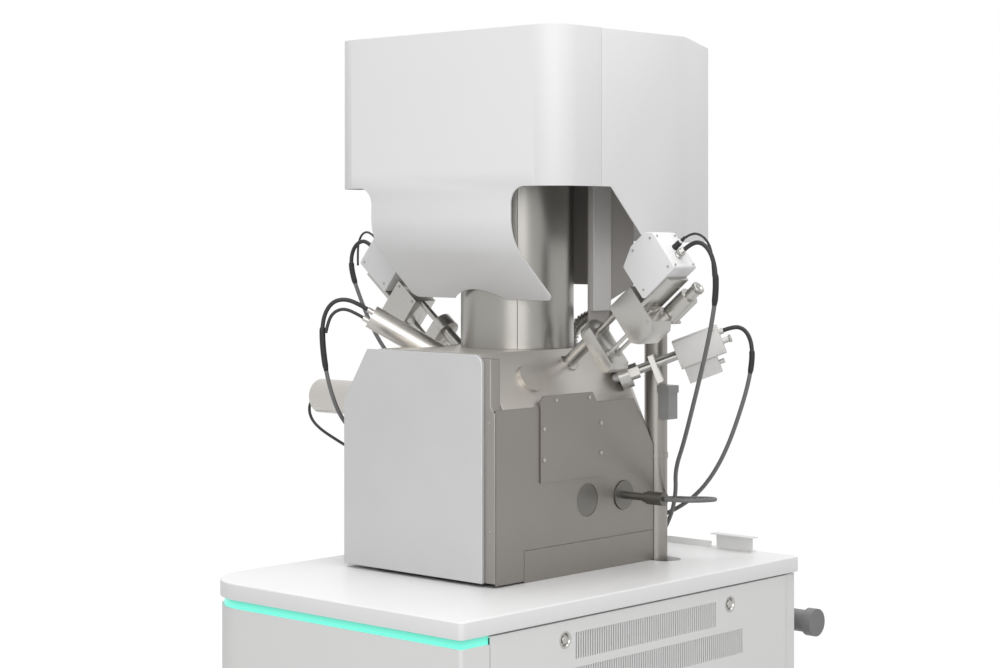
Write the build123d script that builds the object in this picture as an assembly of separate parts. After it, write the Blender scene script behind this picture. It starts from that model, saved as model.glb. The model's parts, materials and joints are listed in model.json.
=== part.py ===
from build123d import *
import os
from math import cos, radians, sin, sqrt, tan

# Scanning electron microscope on its isolated table. Sizes in millimetres.
# The model is laid out about the middle of the table top, with Z = 0 on the top
# of the table, and is moved to its stored frame when the pieces are written:
# origin on the floor, in the middle of the machine without its free cables.

# Table and cabinet
TABLE_WIDTH = 741
TABLE_DEPTH = 1064
TABLE_THICKNESS = 32.5
TABLE_HEIGHT = 700
TABLE_LEFT_RADIUS = 120
TABLE_CORNER_RADIUS = 11
TABLE_EDGE_BREAK = 1.5
LIGHT_HEIGHT = 18
LIGHT_INSET = 9
LIGHT_DEPTH = 10
LIGHT_RETURN = 64
PANEL_INSET = 4
PANEL_SHEET = 2.5
PANEL_FLOOR_GAP = 60
PANEL_SEAM = 2
PANEL_TOP_GAP = 4
FRONT_RETURN_RIGHT = 80
FRONT_RETURN_LEFT = 140
REAR_RETURN = 45
REAR_SETBACK = 8
VENT_PITCH = 7
VENT_SLOT = 3.4
VENT_HEIGHT = 51
VENT_TOP_DROP = 62
VENT_ROW_GAP = 16
VENT_ROW_START = (-210, -222)
VENT_ROW_END = (240, 332)
FASTENER_PLACES_Y = (-241, 283)
FASTENER_DROP = (72, 560)
FASTENER_CUP_RADIUS = 15
FASTENER_BUTTON_RADIUS = 8
FASTENER_DEPTH = 6
FRAME_TUBE = 40
FRAME_INSET = 38
FRAME_CORNER_SHIFT = 20
FRAME_LEVEL = 60
SPRING_RAIL_LEVEL = 300
FOOT_PAD_RADIUS = 32
FOOT_PAD_HEIGHT = 14
FOOT_STUD_RADIUS = 8
BUMPER_RADIUS = 24
BUMPER_CAP_RADIUS = 30
BUMPER_CAP_LENGTH = 22
BUMPER_STANDOFF = 50
BUMPER_DROP = 150
BUMPER_SPAN = 740
RIM_LEFT, RIM_RIGHT = -60, 155
TAB_LEFT, TAB_RIGHT = 165, 262
TAB_HEIGHT = 34

# Pipe slot through the table top
PIPE_X, PIPE_Y = 155, 304
PIPE_RADIUS = 24.75
SLOT_LENGTH = 116
SLOT_WIDTH = 70

# Sprung plate that carries the chamber
FLOAT_WIDTH = 440
FLOAT_FRONT, FLOAT_REAR = -230, 250
FLOAT_TOP = -130
FLOAT_THICKNESS = 20
POST_RADIUS = 25
POST_CLEARANCE = 6
SPRING_RADIUS = 45

# Specimen chamber, seen from the front
CHAMBER_LEFT, CHAMBER_RIGHT = -249, 166
CHAMBER_BOTTOM, CHAMBER_TOP = 12, 457
CHAMBER_FRONT, CHAMBER_REAR = -195.7, 277
BEVEL_WIDTH = 66
BEVEL_HEIGHT = 108
WALL = 37.5
FLOOR_WALL = 40
TOP_WALL = 65
CAVITY_CORNER = 40
FACET_START_Y = 212
FACET_START_DROP = 3
COVER_SHEET = 3
COVER_FRONT = -219.7
SKIRT_FRONT = -136
SKIRT_HEIGHT = 64
HOVER = 4

# Axis on which the column and every detector aim
COLUMN_X, COLUMN_Y = -30, 64
COLUMN_RADIUS = 120
COLUMN_SHEET = 3
COLUMN_SEAM_ANGLE = -48
COLUMN_COVER_TOP = 1000
LENS_BORE_RADIUS = 70
LENS_FLANGE_RADIUS = 84
LENS_FLANGE_HEIGHT = 9
LENS_TIP_LEVEL = 318
LENS_TIP_RADIUS = 18
GUN_RADIUS = 92

# Mast behind the column
MAST_INNER_HALF = 123
MAST_SHEET = 4
MAST_FRONT_Y, MAST_REAR_Y = 150, 300
MAST_FOOT_REAR_Y = 217
MAST_FOOT_LEVEL = 552
MAST_REAR_LEVEL = 584
DUCT_WIDTH = 58
DUCT_DEPTH = 10
DUCT_BOTTOM = 533

# Head cover
HEAD_HALF_WIDTH = 317
HEAD_CENTRE_X = -27
HEAD_FRONT_Y, HEAD_REAR_Y = -180, 495
HEAD_SIDE_END_Y = 230
HEAD_REAR_HALF = 179
HEAD_TOP = 1107
HEAD_FRONT_LEVEL = 791
HEAD_REAR_LEVEL = 678
HEAD_STEP_Y = -11
HEAD_CORNER_RADIUS = 66
HEAD_SHEET = 3
HEAD_SEAM_Y = -41
HEAD_SEAM = 1.6
APRON_LEFT, APRON_RIGHT = -223, 171
APRON_BEND_LEVEL = 728
APRON_BEND_RADIUS = 105
APRON_BEND_ANGLE = 47
APRON_BOTTOM = 561
APRON_FILLET = 34
APRON_TIP_RADIUS = 18
APRON_NOTCH_RADIUS = 135

# Door and its guides
DOOR_THICKNESS = 28
DOOR_LIP = 4
DOOR_GAP = 0.3
FASCIA_THICKNESS = 8
FASCIA_LEFT, FASCIA_RIGHT = -252, 142
FASCIA_BOTTOM = 7
FASCIA_CORNER = 22
SEAL_SECTION = 4
SEAL_MARGIN = 12
GUIDE_ROD_RADIUS = 8
GUIDE_LEVEL = 105
GUIDE_RUNNING = 0.05
GUIDE_POCKET_DEPTH = 24
GUIDE_POCKET_HEIGHT = 50
GUIDE_LAND = 46
GUIDE_LENGTH = 440

# Specimen stage on the door
TILT_LEVEL = 290
TILT_SHAFT_RADIUS = 15
STAGE_PLATE = 15
STAGE_GAP = 0.3
CRADLE_HALF_WIDTH = 70
CRADLE_FLOOR_LEVEL = 150
CRADLE_REAR_Y = 150
LIFT_REST_GAP = 8
PILLAR_RADIUS = 6
PILLAR_Y = -112
PILLAR_TOP = 252
TABLE_DISC_RADIUS = 48
STUB_RADIUS = 6.3
STUB_CIRCLE = 33

# Retractable detectors, one each side: U runs out along the detector, W is its top side
RETRACT_ANGLE = 39
PORT_FROM_AXIS = 144.5
PORT_LEVEL = 430.7
PORT_TUBE_RADIUS = 13
PORT_BORE_RADIUS = 9
PROBE_RADIUS = 7
PROBE_TIP_RADIUS = 5
PROBE_REACH = 62
HOLDER_START, HOLDER_END = 78, 108
HOLDER_HALF_WIDTH = 28
HOLDER_DROP = 92
SLIDE_ROD_RADIUS = 4
SLIDE_ROD_SPACING = 30
SLIDE_ROD_DROP = 58
SLIDE_ROD_END = 252
CARRIAGE_START, CARRIAGE_END = 175, 245
CARRIAGE_FRONT_V, CARRIAGE_BACK_V = -28, 34
CARRIAGE_TOP, CARRIAGE_DROP = 8, 96
HOUSING_START, HOUSING_END = 259, 361
HOUSING_FRONT_V, HOUSING_BACK_V = -34, 38
HOUSING_DROP, HOUSING_TOP = 36, 66
PLUG_RADIUS, PLUG_LENGTH, PLUG_V, PLUG_W = 7, 12, 2, -6
THIN_PLUG_RADIUS, THIN_PLUG_LENGTH, THIN_PLUG_V, THIN_PLUG_W = 5, 24, 6, 14
MOTOR_RADIUS = 20
MOTOR_V = 56

# Slanting detector on the rear corner facet
SLANT_AZIMUTH = 36.2
SLANT_ANGLE = 21
SLANT_PORT = (154, 199, 398)
SLANT_RAIL_RADIUS = 6
SLANT_RAIL_SPACING = 34
SLANT_RAIL_END = 186
SLANT_TUBE_RADIUS = 10
SLANT_BOX_START, SLANT_BOX_END = 118, 218
SLANT_BOX_WIDTH = 58
SLANT_BOX_HEIGHT = 62
SLANT_PLUG_LENGTH, SLANT_PLUG_V, SLANT_PLUG_W = 9, 12, 14

# Front left detector and side camera
ANGLED_TUBE_RADIUS = 25
ANGLED_TUBE_LENGTH = 128
ANGLED_PLUG_LENGTH = 14
ANGLED_PLUG_HEIGHTS = (9, -11)
ANGLED_TUBE_OFFSET = 140.6
ANGLED_TUBE_ANGLE = 30
CAMERA_RADIUS = 37
CAMERA_Y = -110
CAMERA_LEVEL = 340
CAMERA_END = -455

# Free cables and leads
CABLE_DIAMETER = 9
LEAD_DIAMETER = 7
THIN_DIAMETER = 5
CAMERA_CABLE_DIAMETER = 6.5
BEND_SHARE = 0.45

def block(x0, x1, y0, y1, z0, z1):
    centre = Pos((x0 + x1) / 2, (y0 + y1) / 2, (z0 + z1) / 2)
    return centre * Box(x1 - x0, y1 - y0, z1 - z0)


def upright(x, y, radius, z0, z1):
    return Pos(x, y, (z0 + z1) / 2) * Cylinder(radius, z1 - z0)


def along_x(y, z, radius, x0, x1):
    return Pos((x0 + x1) / 2, y, z) * Rot(0, 90, 0) * Cylinder(radius, x1 - x0)


def along_y(x, z, radius, y0, y1):
    return Pos(x, (y0 + y1) / 2, z) * Rot(90, 0, 0) * Cylinder(radius, y1 - y0)


def prism_y(outline, y0, y1):
    """A solid with an X, Z outline, from y0 back to y1."""
    face = make_face(Polyline(*[(x, y0, z) for x, z in outline], close=True))
    return extrude(face, amount=y1 - y0, dir=(0, 1, 0))


def prism_x(outline, x0, x1):
    """A solid with a Y, Z outline, from x0 across to x1."""
    face = make_face(Polyline(*[(x0, y, z) for y, z in outline], close=True))
    return extrude(face, amount=x1 - x0, dir=(1, 0, 0))


def turned(profile, x, y):
    """A turned piece from (radius, level) points, about an upright axis at x, y."""
    face = make_face(Polyline(*[(r, 0, z) for r, z in profile], close=True))
    return Pos(x, y, 0) * revolve(face, Axis.Z)


def mirror_about_column(shape):
    return mirror(shape, Plane.YZ.offset(COLUMN_X))


# Table top and cabinet


def table_plan(inset):
    plan = Rectangle(TABLE_WIDTH - 2 * inset, TABLE_DEPTH - 2 * inset)
    front = plan.vertices().group_by(Axis.Y)[0].sort_by(Axis.X)
    rear = plan.vertices().group_by(Axis.Y)[-1]
    plan = fillet(front[0], TABLE_LEFT_RADIUS - inset)
    front_right = plan.vertices().group_by(Axis.Y)[0].sort_by(Axis.X)[-1]
    corner = max(TABLE_CORNER_RADIUS - inset, 1)
    plan = fillet([front_right, *plan.vertices().group_by(Axis.Y)[-1]], corner)
    return plan


def ring_wall(inset, sheet, low, high):
    return Pos(0, 0, low) * extrude(table_plan(inset) - table_plan(inset + sheet), amount=high - low)


HALF_WIDTH = TABLE_WIDTH / 2
HALF_DEPTH = TABLE_DEPTH / 2
TABLE_UNDERSIDE = -TABLE_THICKNESS
FLOOR = -TABLE_HEIGHT
FRONT_PANEL_TOP = TABLE_UNDERSIDE - LIGHT_HEIGHT
PANEL_BOTTOM = FLOOR + PANEL_FLOOR_GAP
PANEL_TOP = TABLE_UNDERSIDE - PANEL_TOP_GAP
POST_PLACES = [(COLUMN_X + dx, dy) for dx in (-150, 120) for dy in (-140, 200)]


def tabletop():
    top = Pos(0, 0, TABLE_UNDERSIDE) * extrude(table_plan(0), amount=TABLE_THICKNESS)
    top = chamfer(top.edges().group_by(Axis.Z)[-1], TABLE_EDGE_BREAK)
    slot = Pos(PIPE_X, PIPE_Y, TABLE_UNDERSIDE) * extrude(SlotOverall(SLOT_LENGTH, SLOT_WIDTH), amount=TABLE_THICKNESS)
    top -= slot
    for x, y in POST_PLACES:
        top -= upright(x, y, POST_RADIUS + POST_CLEARANCE, TABLE_UNDERSIDE, 0)
    return top


def front_zone(return_left, return_right, low, high):
    left = block(-HALF_WIDTH, 0, -HALF_DEPTH, -HALF_DEPTH + return_left, low, high)
    return left + block(0, HALF_WIDTH, -HALF_DEPTH, -HALF_DEPTH + return_right, low, high)


def status_light():
    strip = ring_wall(LIGHT_INSET, LIGHT_DEPTH, FRONT_PANEL_TOP, TABLE_UNDERSIDE)
    zone = front_zone(FRONT_RETURN_LEFT, LIGHT_RETURN, FRONT_PANEL_TOP, TABLE_UNDERSIDE)
    return strip & zone


def front_panel():
    wall = ring_wall(PANEL_INSET, PANEL_SHEET, PANEL_BOTTOM, FRONT_PANEL_TOP)
    for low in (PANEL_BOTTOM, FRONT_PANEL_TOP - PANEL_SHEET):
        wall += ring_wall(PANEL_INSET, FRAME_INSET - PANEL_INSET, low, low + PANEL_SHEET)
    return wall & front_zone(FRONT_RETURN_LEFT, FRONT_RETURN_RIGHT, PANEL_BOTTOM, FRONT_PANEL_TOP)


def rear_panel():
    wall = ring_wall(REAR_SETBACK, PANEL_SHEET, PANEL_BOTTOM, PANEL_TOP)
    start = HALF_DEPTH - REAR_RETURN
    for level in (PANEL_BOTTOM, PANEL_TOP - PANEL_SHEET):
        wall += ring_wall(REAR_SETBACK, FRAME_INSET - REAR_SETBACK, level, level + PANEL_SHEET)
    return wall & block(-HALF_WIDTH, HALF_WIDTH, start, HALF_DEPTH, PANEL_BOTTOM, PANEL_TOP)


def fastener_levels():
    return [-drop for drop in FASTENER_DROP]


def side_panel(side, front_return):
    """One vented side panel; side is +1 on the right."""
    outer = HALF_WIDTH - PANEL_INSET
    front = -HALF_DEPTH + front_return + PANEL_SEAM
    rear = HALF_DEPTH - REAR_RETURN - PANEL_SEAM
    panel = block(outer - PANEL_SHEET, outer, front, rear, PANEL_BOTTOM, PANEL_TOP)
    for low in (PANEL_BOTTOM, PANEL_TOP - PANEL_SHEET):
        panel += block(HALF_WIDTH - FRAME_INSET, outer, front, rear, low, low + PANEL_SHEET)
    slots = []
    for row, (start, end) in enumerate(zip(VENT_ROW_START, VENT_ROW_END)):
        high = -VENT_TOP_DROP - row * (VENT_HEIGHT + VENT_ROW_GAP)
        for index in range(int((end - start) / VENT_PITCH)):
            y = start + index * VENT_PITCH
            slots.append(block(outer - PANEL_SHEET, outer, y, y + VENT_SLOT, high - VENT_HEIGHT, high))
    panel -= slots
    for y in FASTENER_PLACES_Y:
        for z in fastener_levels():
            panel -= along_x(y, z, FASTENER_CUP_RADIUS, outer - PANEL_SHEET, outer)
    return panel if side > 0 else mirror(panel, Plane.YZ)


def side_panels():
    return [side_panel(1, FRONT_RETURN_RIGHT), side_panel(-1, FRONT_RETURN_LEFT)]


def panel_fasteners():
    """Round cups let into the side panels, each with a raised button."""
    rim = FASTENER_CUP_RADIUS + 1.5
    cup = FASTENER_CUP_RADIUS
    button = FASTENER_BUTTON_RADIUS
    deep = FASTENER_DEPTH
    profile = [
        (0, -deep), (cup, -deep), (cup, 0), (rim, 0), (rim, 0.8), (cup - 1.5, 0.8),
        (button + 2, 1.5 - deep), (button, 1.5 - deep), (button, -0.6), (button - 1, 0.4), (0, 0.4),
    ]
    one = turned(profile, 0, 0)
    outer = HALF_WIDTH - PANEL_INSET
    pieces = []
    for side in (1, -1):
        for y in FASTENER_PLACES_Y:
            for z in fastener_levels():
                pieces.append(Pos(side * outer, y, z) * Rot(0, 90 * side, 0) * one)
    return pieces


def corner_posts():
    """Centres of the four posts; the front left one stands in from the round corner."""
    x = HALF_WIDTH - FRAME_INSET - FRAME_TUBE / 2
    y = HALF_DEPTH - FRAME_INSET - FRAME_TUBE / 2
    return [(-x + FRAME_CORNER_SHIFT, -y + FRAME_CORNER_SHIFT), (-x, y), (x, -y), (x, y)]


def base_frame():
    """Welded square-tube frame: two rings, four posts, rails for the springs."""
    half_x = HALF_WIDTH - FRAME_INSET
    half_y = HALF_DEPTH - FRAME_INSET
    low = FLOOR + FRAME_LEVEL
    levels = (low, SPRING_RAIL_BASE - FRAME_TUBE, TABLE_UNDERSIDE - FRAME_TUBE)
    frame = None
    for x, y in corner_posts():
        post = Pos(x, y, (low + TABLE_UNDERSIDE) / 2) * Box(FRAME_TUBE, FRAME_TUBE, TABLE_UNDERSIDE - low)
        frame = post if frame is None else frame + post
    for level in levels:
        for x in (-half_x, half_x - FRAME_TUBE):
            frame += block(x, x + FRAME_TUBE, -half_y, half_y, level, level + FRAME_TUBE)
    for level in (levels[0], levels[2]):
        for y in (-half_y, half_y - FRAME_TUBE):
            frame += block(-half_x, half_x, y, y + FRAME_TUBE, level, level + FRAME_TUBE)
    for y in SPRING_ROWS:
        frame += block(-half_x, half_x, y - FRAME_TUBE, y + FRAME_TUBE, levels[1], SPRING_RAIL_BASE)
    clip = Pos(0, 0, low) * extrude(table_plan(FRAME_INSET), amount=TABLE_UNDERSIDE - low)
    return frame & clip


SPRING_RAIL_BASE = -SPRING_RAIL_LEVEL
SPRING_ROWS = (-170, 180)
SPRING_PLACES = [(x, y) for x in (COLUMN_X - 160, COLUMN_X + 130) for y in SPRING_ROWS]


def levelling_feet():
    pad_top = FLOOR + FOOT_PAD_HEIGHT
    profile = [
        (0, FLOOR), (FOOT_PAD_RADIUS, FLOOR), (FOOT_PAD_RADIUS, FLOOR + 8), (14, pad_top),
        (FOOT_STUD_RADIUS, pad_top), (FOOT_STUD_RADIUS, FLOOR + FRAME_LEVEL - 10),
        (13, FLOOR + FRAME_LEVEL - 10), (13, FLOOR + FRAME_LEVEL), (0, FLOOR + FRAME_LEVEL),
    ]
    return [turned(profile, x, y) for x, y in corner_posts()]


def rear_bumper():
    """Push bar across the back: tube, two stand-offs and two round end caps."""
    y = HALF_DEPTH + BUMPER_STANDOFF
    z = -BUMPER_DROP
    half = BUMPER_SPAN / 2
    bar = along_x(y, z, BUMPER_RADIUS, -half, half)
    for x in (-half, half):
        bar += along_x(y, z, BUMPER_CAP_RADIUS, x - BUMPER_CAP_LENGTH / 2, x + BUMPER_CAP_LENGTH / 2)
    for x in (-half * 0.6, half * 0.6):
        bar += along_y(x, z, BUMPER_RADIUS * 0.7, HALF_DEPTH - REAR_SETBACK, y)
    return bar


def rear_trim():
    """Low folded rim and a raised sheet bracket on the rear edge of the table."""
    rim_y = HALF_DEPTH - 30
    rim = block(RIM_LEFT, RIM_RIGHT, rim_y, rim_y + 2, 0, 14) + block(RIM_LEFT, RIM_RIGHT, rim_y, rim_y + 14, 0, 2)
    upright_y = HALF_DEPTH - 24
    tab = block(TAB_LEFT, TAB_RIGHT, upright_y, upright_y + 2, 0, TAB_HEIGHT)
    tab += block(TAB_LEFT, TAB_RIGHT + 14, upright_y - 22, upright_y + 2, TAB_HEIGHT - 2, TAB_HEIGHT)
    tab += block(TAB_LEFT, TAB_RIGHT, upright_y, upright_y + 18, 0, 2)
    return [rim, tab]


def float_plate():
    """Heavy plate on the springs, with the posts that carry the chamber."""
    low = FLOAT_TOP - FLOAT_THICKNESS
    half = FLOAT_WIDTH / 2
    plate = block(COLUMN_X - half, COLUMN_X + half, FLOAT_FRONT, FLOAT_REAR, low, FLOAT_TOP)
    for x, y in POST_PLACES:
        plate += upright(x, y, POST_RADIUS, FLOAT_TOP, CHAMBER_BOTTOM)
    return plate


def air_springs():
    low = SPRING_RAIL_BASE
    high = FLOAT_TOP - FLOAT_THICKNESS
    waist = SPRING_RADIUS - 6
    middle = (low + high) / 2
    profile = [
        (0, low), (SPRING_RADIUS, low), (SPRING_RADIUS, middle - 12), (waist, middle - 4),
        (waist, middle + 4), (SPRING_RADIUS, middle + 12), (SPRING_RADIUS, high), (0, high),
    ]
    return [turned(profile, x, y) for x, y in SPRING_PLACES]


def backing_pump():
    """Dry pump on the bottom rails of the frame, under the pipe."""
    low = FLOOR + FRAME_LEVEL + FRAME_TUBE
    half_x = HALF_WIDTH - FRAME_INSET
    body = block(-half_x + 10, half_x - 10, 170, 210, low, low + 12)
    body += block(-half_x + 10, half_x - 10, 330, 370, low, low + 12)
    body += block(-60, 220, 150, 390, low + 12, low + 150)
    body += along_y(80, low + 150, 70, 150, 390)
    body += upright(PIPE_X, PIPE_Y, 30, low + 150, low + 236)
    return body


# Specimen chamber


def chamber_outline(spread=0):
    left = CHAMBER_LEFT - spread
    right = CHAMBER_RIGHT + spread
    shoulder = CHAMBER_TOP - BEVEL_HEIGHT
    return [
        (left, CHAMBER_BOTTOM), (right, CHAMBER_BOTTOM), (right, shoulder),
        (right - BEVEL_WIDTH, CHAMBER_TOP), (left + BEVEL_WIDTH, CHAMBER_TOP), (left, shoulder),
    ]


def slant_axis():
    flat = cos(radians(SLANT_ANGLE))
    azimuth = radians(SLANT_AZIMUTH)
    return Vector(flat * cos(azimuth), flat * sin(azimuth), sin(radians(SLANT_ANGLE)))


def facet_cutter(side):
    """Half space behind a rear corner facet, which faces along the slanting detector."""
    axis = slant_axis()
    wall = (CHAMBER_RIGHT if side > 0 else CHAMBER_LEFT) + side * COVER_SHEET
    start = Vector(wall, FACET_START_Y, CHAMBER_TOP - BEVEL_HEIGHT - FACET_START_DROP)
    direction = Vector(side * axis.X, axis.Y, axis.Z)
    return Plane(origin=start, z_dir=direction).location * Pos(0, 0, 150) * Box(900, 900, 300)


def chamber_envelope(spread=0):
    solid = prism_y(chamber_outline(spread), CHAMBER_FRONT, CHAMBER_REAR)
    return solid - facet_cutter(1) - facet_cutter(-1)


def cavity():
    left, right = CHAMBER_LEFT + WALL, CHAMBER_RIGHT - WALL
    low, high = CHAMBER_BOTTOM + FLOOR_WALL, CHAMBER_TOP - TOP_WALL
    cut = CAVITY_CORNER
    outline = [
        (left, low), (right, low), (right, high - cut), (right - cut, high),
        (left + cut, high), (left, high - cut),
    ]
    return prism_y(outline, CHAMBER_FRONT, CHAMBER_REAR - WALL)


def guide_x(side):
    edge = CHAMBER_RIGHT if side > 0 else CHAMBER_LEFT
    return edge - side * GUIDE_POCKET_DEPTH / 2


def guide_cuts(side):
    """Bore for a door guide rod, with pockets between its two bearing lands."""
    x = guide_x(side)
    half = GUIDE_POCKET_DEPTH / 2
    low, high = GUIDE_LEVEL - GUIDE_POCKET_HEIGHT / 2, GUIDE_LEVEL + GUIDE_POCKET_HEIGHT / 2
    first = CHAMBER_FRONT + GUIDE_LAND
    second = first + GUIDE_LAND
    cuts = along_y(x, GUIDE_LEVEL, GUIDE_ROD_RADIUS + GUIDE_RUNNING, CHAMBER_FRONT, second + GUIDE_LAND)
    cuts += block(x - half, x + half, first, second, low, high)
    return cuts + block(x - half, x + half, second + GUIDE_LAND, CHAMBER_REAR, low, high)


def chamber_body():
    body = chamber_envelope() - cavity()
    body -= upright(COLUMN_X, COLUMN_Y, LENS_BORE_RADIUS, CHAMBER_TOP - TOP_WALL, CHAMBER_TOP)
    for side in (1, -1):
        body -= guide_cuts(side)
        bore = retract_frame(side) * Pos(-40, 0, 0) * Rot(0, 90, 0) * Cylinder(PORT_BORE_RADIUS, 200)
        body -= bore
    body -= slant_frame() * Pos(-40, 0, 0) * Rot(0, 90, 0) * Cylinder(SLANT_TUBE_RADIUS + 2, 110)
    body -= along_x(PORT_Y, PORT_Z, PORT_STUB_RADIUS + 1, CHAMBER_RIGHT - WALL, CHAMBER_RIGHT)
    return body


PORT_Y, PORT_Z = 176, 147.7
PORT_STUB_RADIUS = 8
PLUG_Y, PLUG_Z = 58.7, 148
PORT_DISC_RADIUS = 31
PLUG_DISC_RADIUS = 34
ACCESS_FRONT, ACCESS_REAR = -90, 108
ACCESS_LOW, ACCESS_HIGH = 195, 349
ACCESS_TAB_HIGH = 370
ACCESS_SHEET = 3.5


def side_cover(side):
    """Sheet over one chamber wall, with a separate low skirt that stands on the table."""
    wall = CHAMBER_RIGHT
    high = CHAMBER_TOP - BEVEL_HEIGHT
    seam = 1.2
    sheet = block(wall, wall + COVER_SHEET, COVER_FRONT, CHAMBER_REAR, SKIRT_HEIGHT + seam, high)
    sheet += block(wall, wall + COVER_SHEET, COVER_FRONT, SKIRT_FRONT - seam, HOVER, SKIRT_HEIGHT + seam)
    skirt = block(wall, wall + COVER_SHEET, SKIRT_FRONT, CHAMBER_REAR, 0, SKIRT_HEIGHT)
    if side > 0:
        sheet -= along_x(PORT_Y, PORT_Z, PORT_DISC_RADIUS, wall, wall + COVER_SHEET)
        sheet -= along_x(PLUG_Y, PLUG_Z, PLUG_DISC_RADIUS, wall, wall + COVER_SHEET)
        return [sheet - facet_cutter(1), skirt]
    middle = (CHAMBER_RIGHT + CHAMBER_LEFT) / 2
    sheet = mirror(sheet, Plane.YZ.offset(middle))
    skirt = mirror(skirt, Plane.YZ.offset(middle))
    sheet -= along_x(CAMERA_Y, CAMERA_LEVEL, CAMERA_RADIUS, CHAMBER_LEFT - COVER_SHEET, CHAMBER_LEFT)
    return [sheet - facet_cutter(-1), skirt]


def access_plate():
    """Screwed cover plate on the right wall, with a tab that stands above the cover."""
    inner = CHAMBER_RIGHT + COVER_SHEET
    outline = [
        (ACCESS_FRONT, ACCESS_LOW), (ACCESS_REAR, ACCESS_LOW), (ACCESS_REAR, ACCESS_HIGH),
        (ACCESS_REAR - 22, ACCESS_HIGH), (ACCESS_REAR - 36, ACCESS_TAB_HIGH),
        (ACCESS_FRONT + 10, ACCESS_TAB_HIGH), (ACCESS_FRONT, ACCESS_TAB_HIGH - 10),
    ]
    return prism_x(outline, inner, inner + ACCESS_SHEET)


SCREW_PLACES = [(-44, 360), (60, 360), (-81, 304), (-81, 241.5), (98, 304.5), (98, 243)]
SCREW_HEAD_RADIUS = 4
SCREW_HEAD_HEIGHT = 2


def cover_screws():
    """Cap screws of the access plate and of the door's right margin."""
    face = CHAMBER_RIGHT + COVER_SHEET + ACCESS_SHEET
    socket = 1.2
    pieces = []
    for y, z in SCREW_PLACES:
        head = along_x(y, z, SCREW_HEAD_RADIUS, face, face + SCREW_HEAD_HEIGHT)
        pieces.append(head - along_x(y, z, SCREW_HEAD_RADIUS / 2, face + socket, face + SCREW_HEAD_HEIGHT))
    return pieces


def port_fittings():
    """Blank plug and cable port of the right wall, and the plug on the right bevel."""
    wall = CHAMBER_RIGHT
    blank = along_x(PLUG_Y, PLUG_Z, PLUG_DISC_RADIUS - 0.5, wall, wall + 2)
    port = along_x(PORT_Y, PORT_Z, PORT_DISC_RADIUS - 0.5, wall, wall + 6)
    port += along_x(PORT_Y, PORT_Z, PORT_STUB_RADIUS, wall, wall + 61)
    port += along_x(PORT_Y, PORT_Z, 11, wall + 61, wall + 70)
    port += along_x(PORT_Y, PORT_Z, 14, wall + 70, wall + 112)
    bevel = Plane(
        origin=(CHAMBER_RIGHT - BEVEL_WIDTH / 2, -82, CHAMBER_TOP - BEVEL_HEIGHT / 2),
        z_dir=(BEVEL_HEIGHT, 0, BEVEL_WIDTH),
    )
    disc = bevel.location * Pos(0, 0, 4) * Cylinder(30, 8)
    return [blank, port, disc]


# Column, mast and head


def objective_lens():
    bottom = CHAMBER_TOP - TOP_WALL
    profile = [
        (6, LENS_TIP_LEVEL), (LENS_TIP_RADIUS, LENS_TIP_LEVEL), (LENS_BORE_RADIUS - 8, bottom),
        (LENS_BORE_RADIUS - 0.1, bottom), (LENS_BORE_RADIUS - 0.1, CHAMBER_TOP),
        (LENS_FLANGE_RADIUS, CHAMBER_TOP), (LENS_FLANGE_RADIUS, CHAMBER_TOP + LENS_FLANGE_HEIGHT),
        (6, CHAMBER_TOP + LENS_FLANGE_HEIGHT),
    ]
    return turned(profile, COLUMN_X, COLUMN_Y)


def electron_column():
    """Condenser stack, liner and gun chamber above the lens."""
    low = CHAMBER_TOP + LENS_FLANGE_HEIGHT
    profile = [
        (6, low), (76, low), (76, low + 120), (58, low + 130), (58, low + 260), (80, low + 270),
        (80, low + 380), (52, low + 392), (52, low + 440), (GUN_RADIUS, low + 450),
        (GUN_RADIUS, low + 600), (60, low + 622), (6, low + 622),
    ]
    return turned(profile, COLUMN_X, COLUMN_Y)


def column_shell(start_angle):
    """Half of the round column cover, from start_angle half a turn on."""
    low, high = CHAMBER_TOP, COLUMN_COVER_TOP
    tube = upright(COLUMN_X, COLUMN_Y, COLUMN_RADIUS, low, high)
    tube -= upright(COLUMN_X, COLUMN_Y, COLUMN_RADIUS - COLUMN_SHEET, low, high)
    side = Pos(COLUMN_X, COLUMN_Y, (low + high) / 2) * Rot(0, 0, start_angle)
    return tube & side * Pos(0, COLUMN_RADIUS + 0.4, 0) * Box(2.5 * COLUMN_RADIUS, 2 * COLUMN_RADIUS, high - low)


def mast():
    """Folded channel behind the column that carries the head."""
    inner = MAST_INNER_HALF
    outer = inner + MAST_SHEET
    ceiling = HEAD_TOP - HEAD_SHEET
    outline = [
        (MAST_FRONT_Y, CHAMBER_TOP), (MAST_FOOT_REAR_Y, CHAMBER_TOP), (MAST_FOOT_REAR_Y, MAST_FOOT_LEVEL),
        (MAST_REAR_Y, MAST_REAR_LEVEL), (MAST_REAR_Y, ceiling), (MAST_FRONT_Y, ceiling),
    ]
    plates = prism_x(outline, COLUMN_X + inner, COLUMN_X + outer)
    plates += mirror_about_column(plates)
    back = MAST_REAR_Y - MAST_SHEET
    plates += block(COLUMN_X - outer, COLUMN_X + outer, back, MAST_REAR_Y, MAST_REAR_LEVEL, ceiling)
    rail = block(COLUMN_X + inner - 24, COLUMN_X + outer, HEAD_FRONT_Y + 20, MAST_REAR_Y, ceiling - 20, ceiling)
    return plates + rail + mirror_about_column(rail)


def cable_duct():
    face = COLUMN_X + MAST_INNER_HALF + MAST_SHEET
    start = MAST_FRONT_Y + 4
    duct = block(face, face + DUCT_DEPTH, start, start + DUCT_WIDTH, DUCT_BOTTOM, COLUMN_COVER_TOP)
    return fillet(duct.edges().filter_by(Axis.Z).group_by(Axis.X)[-1], 2)


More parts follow.
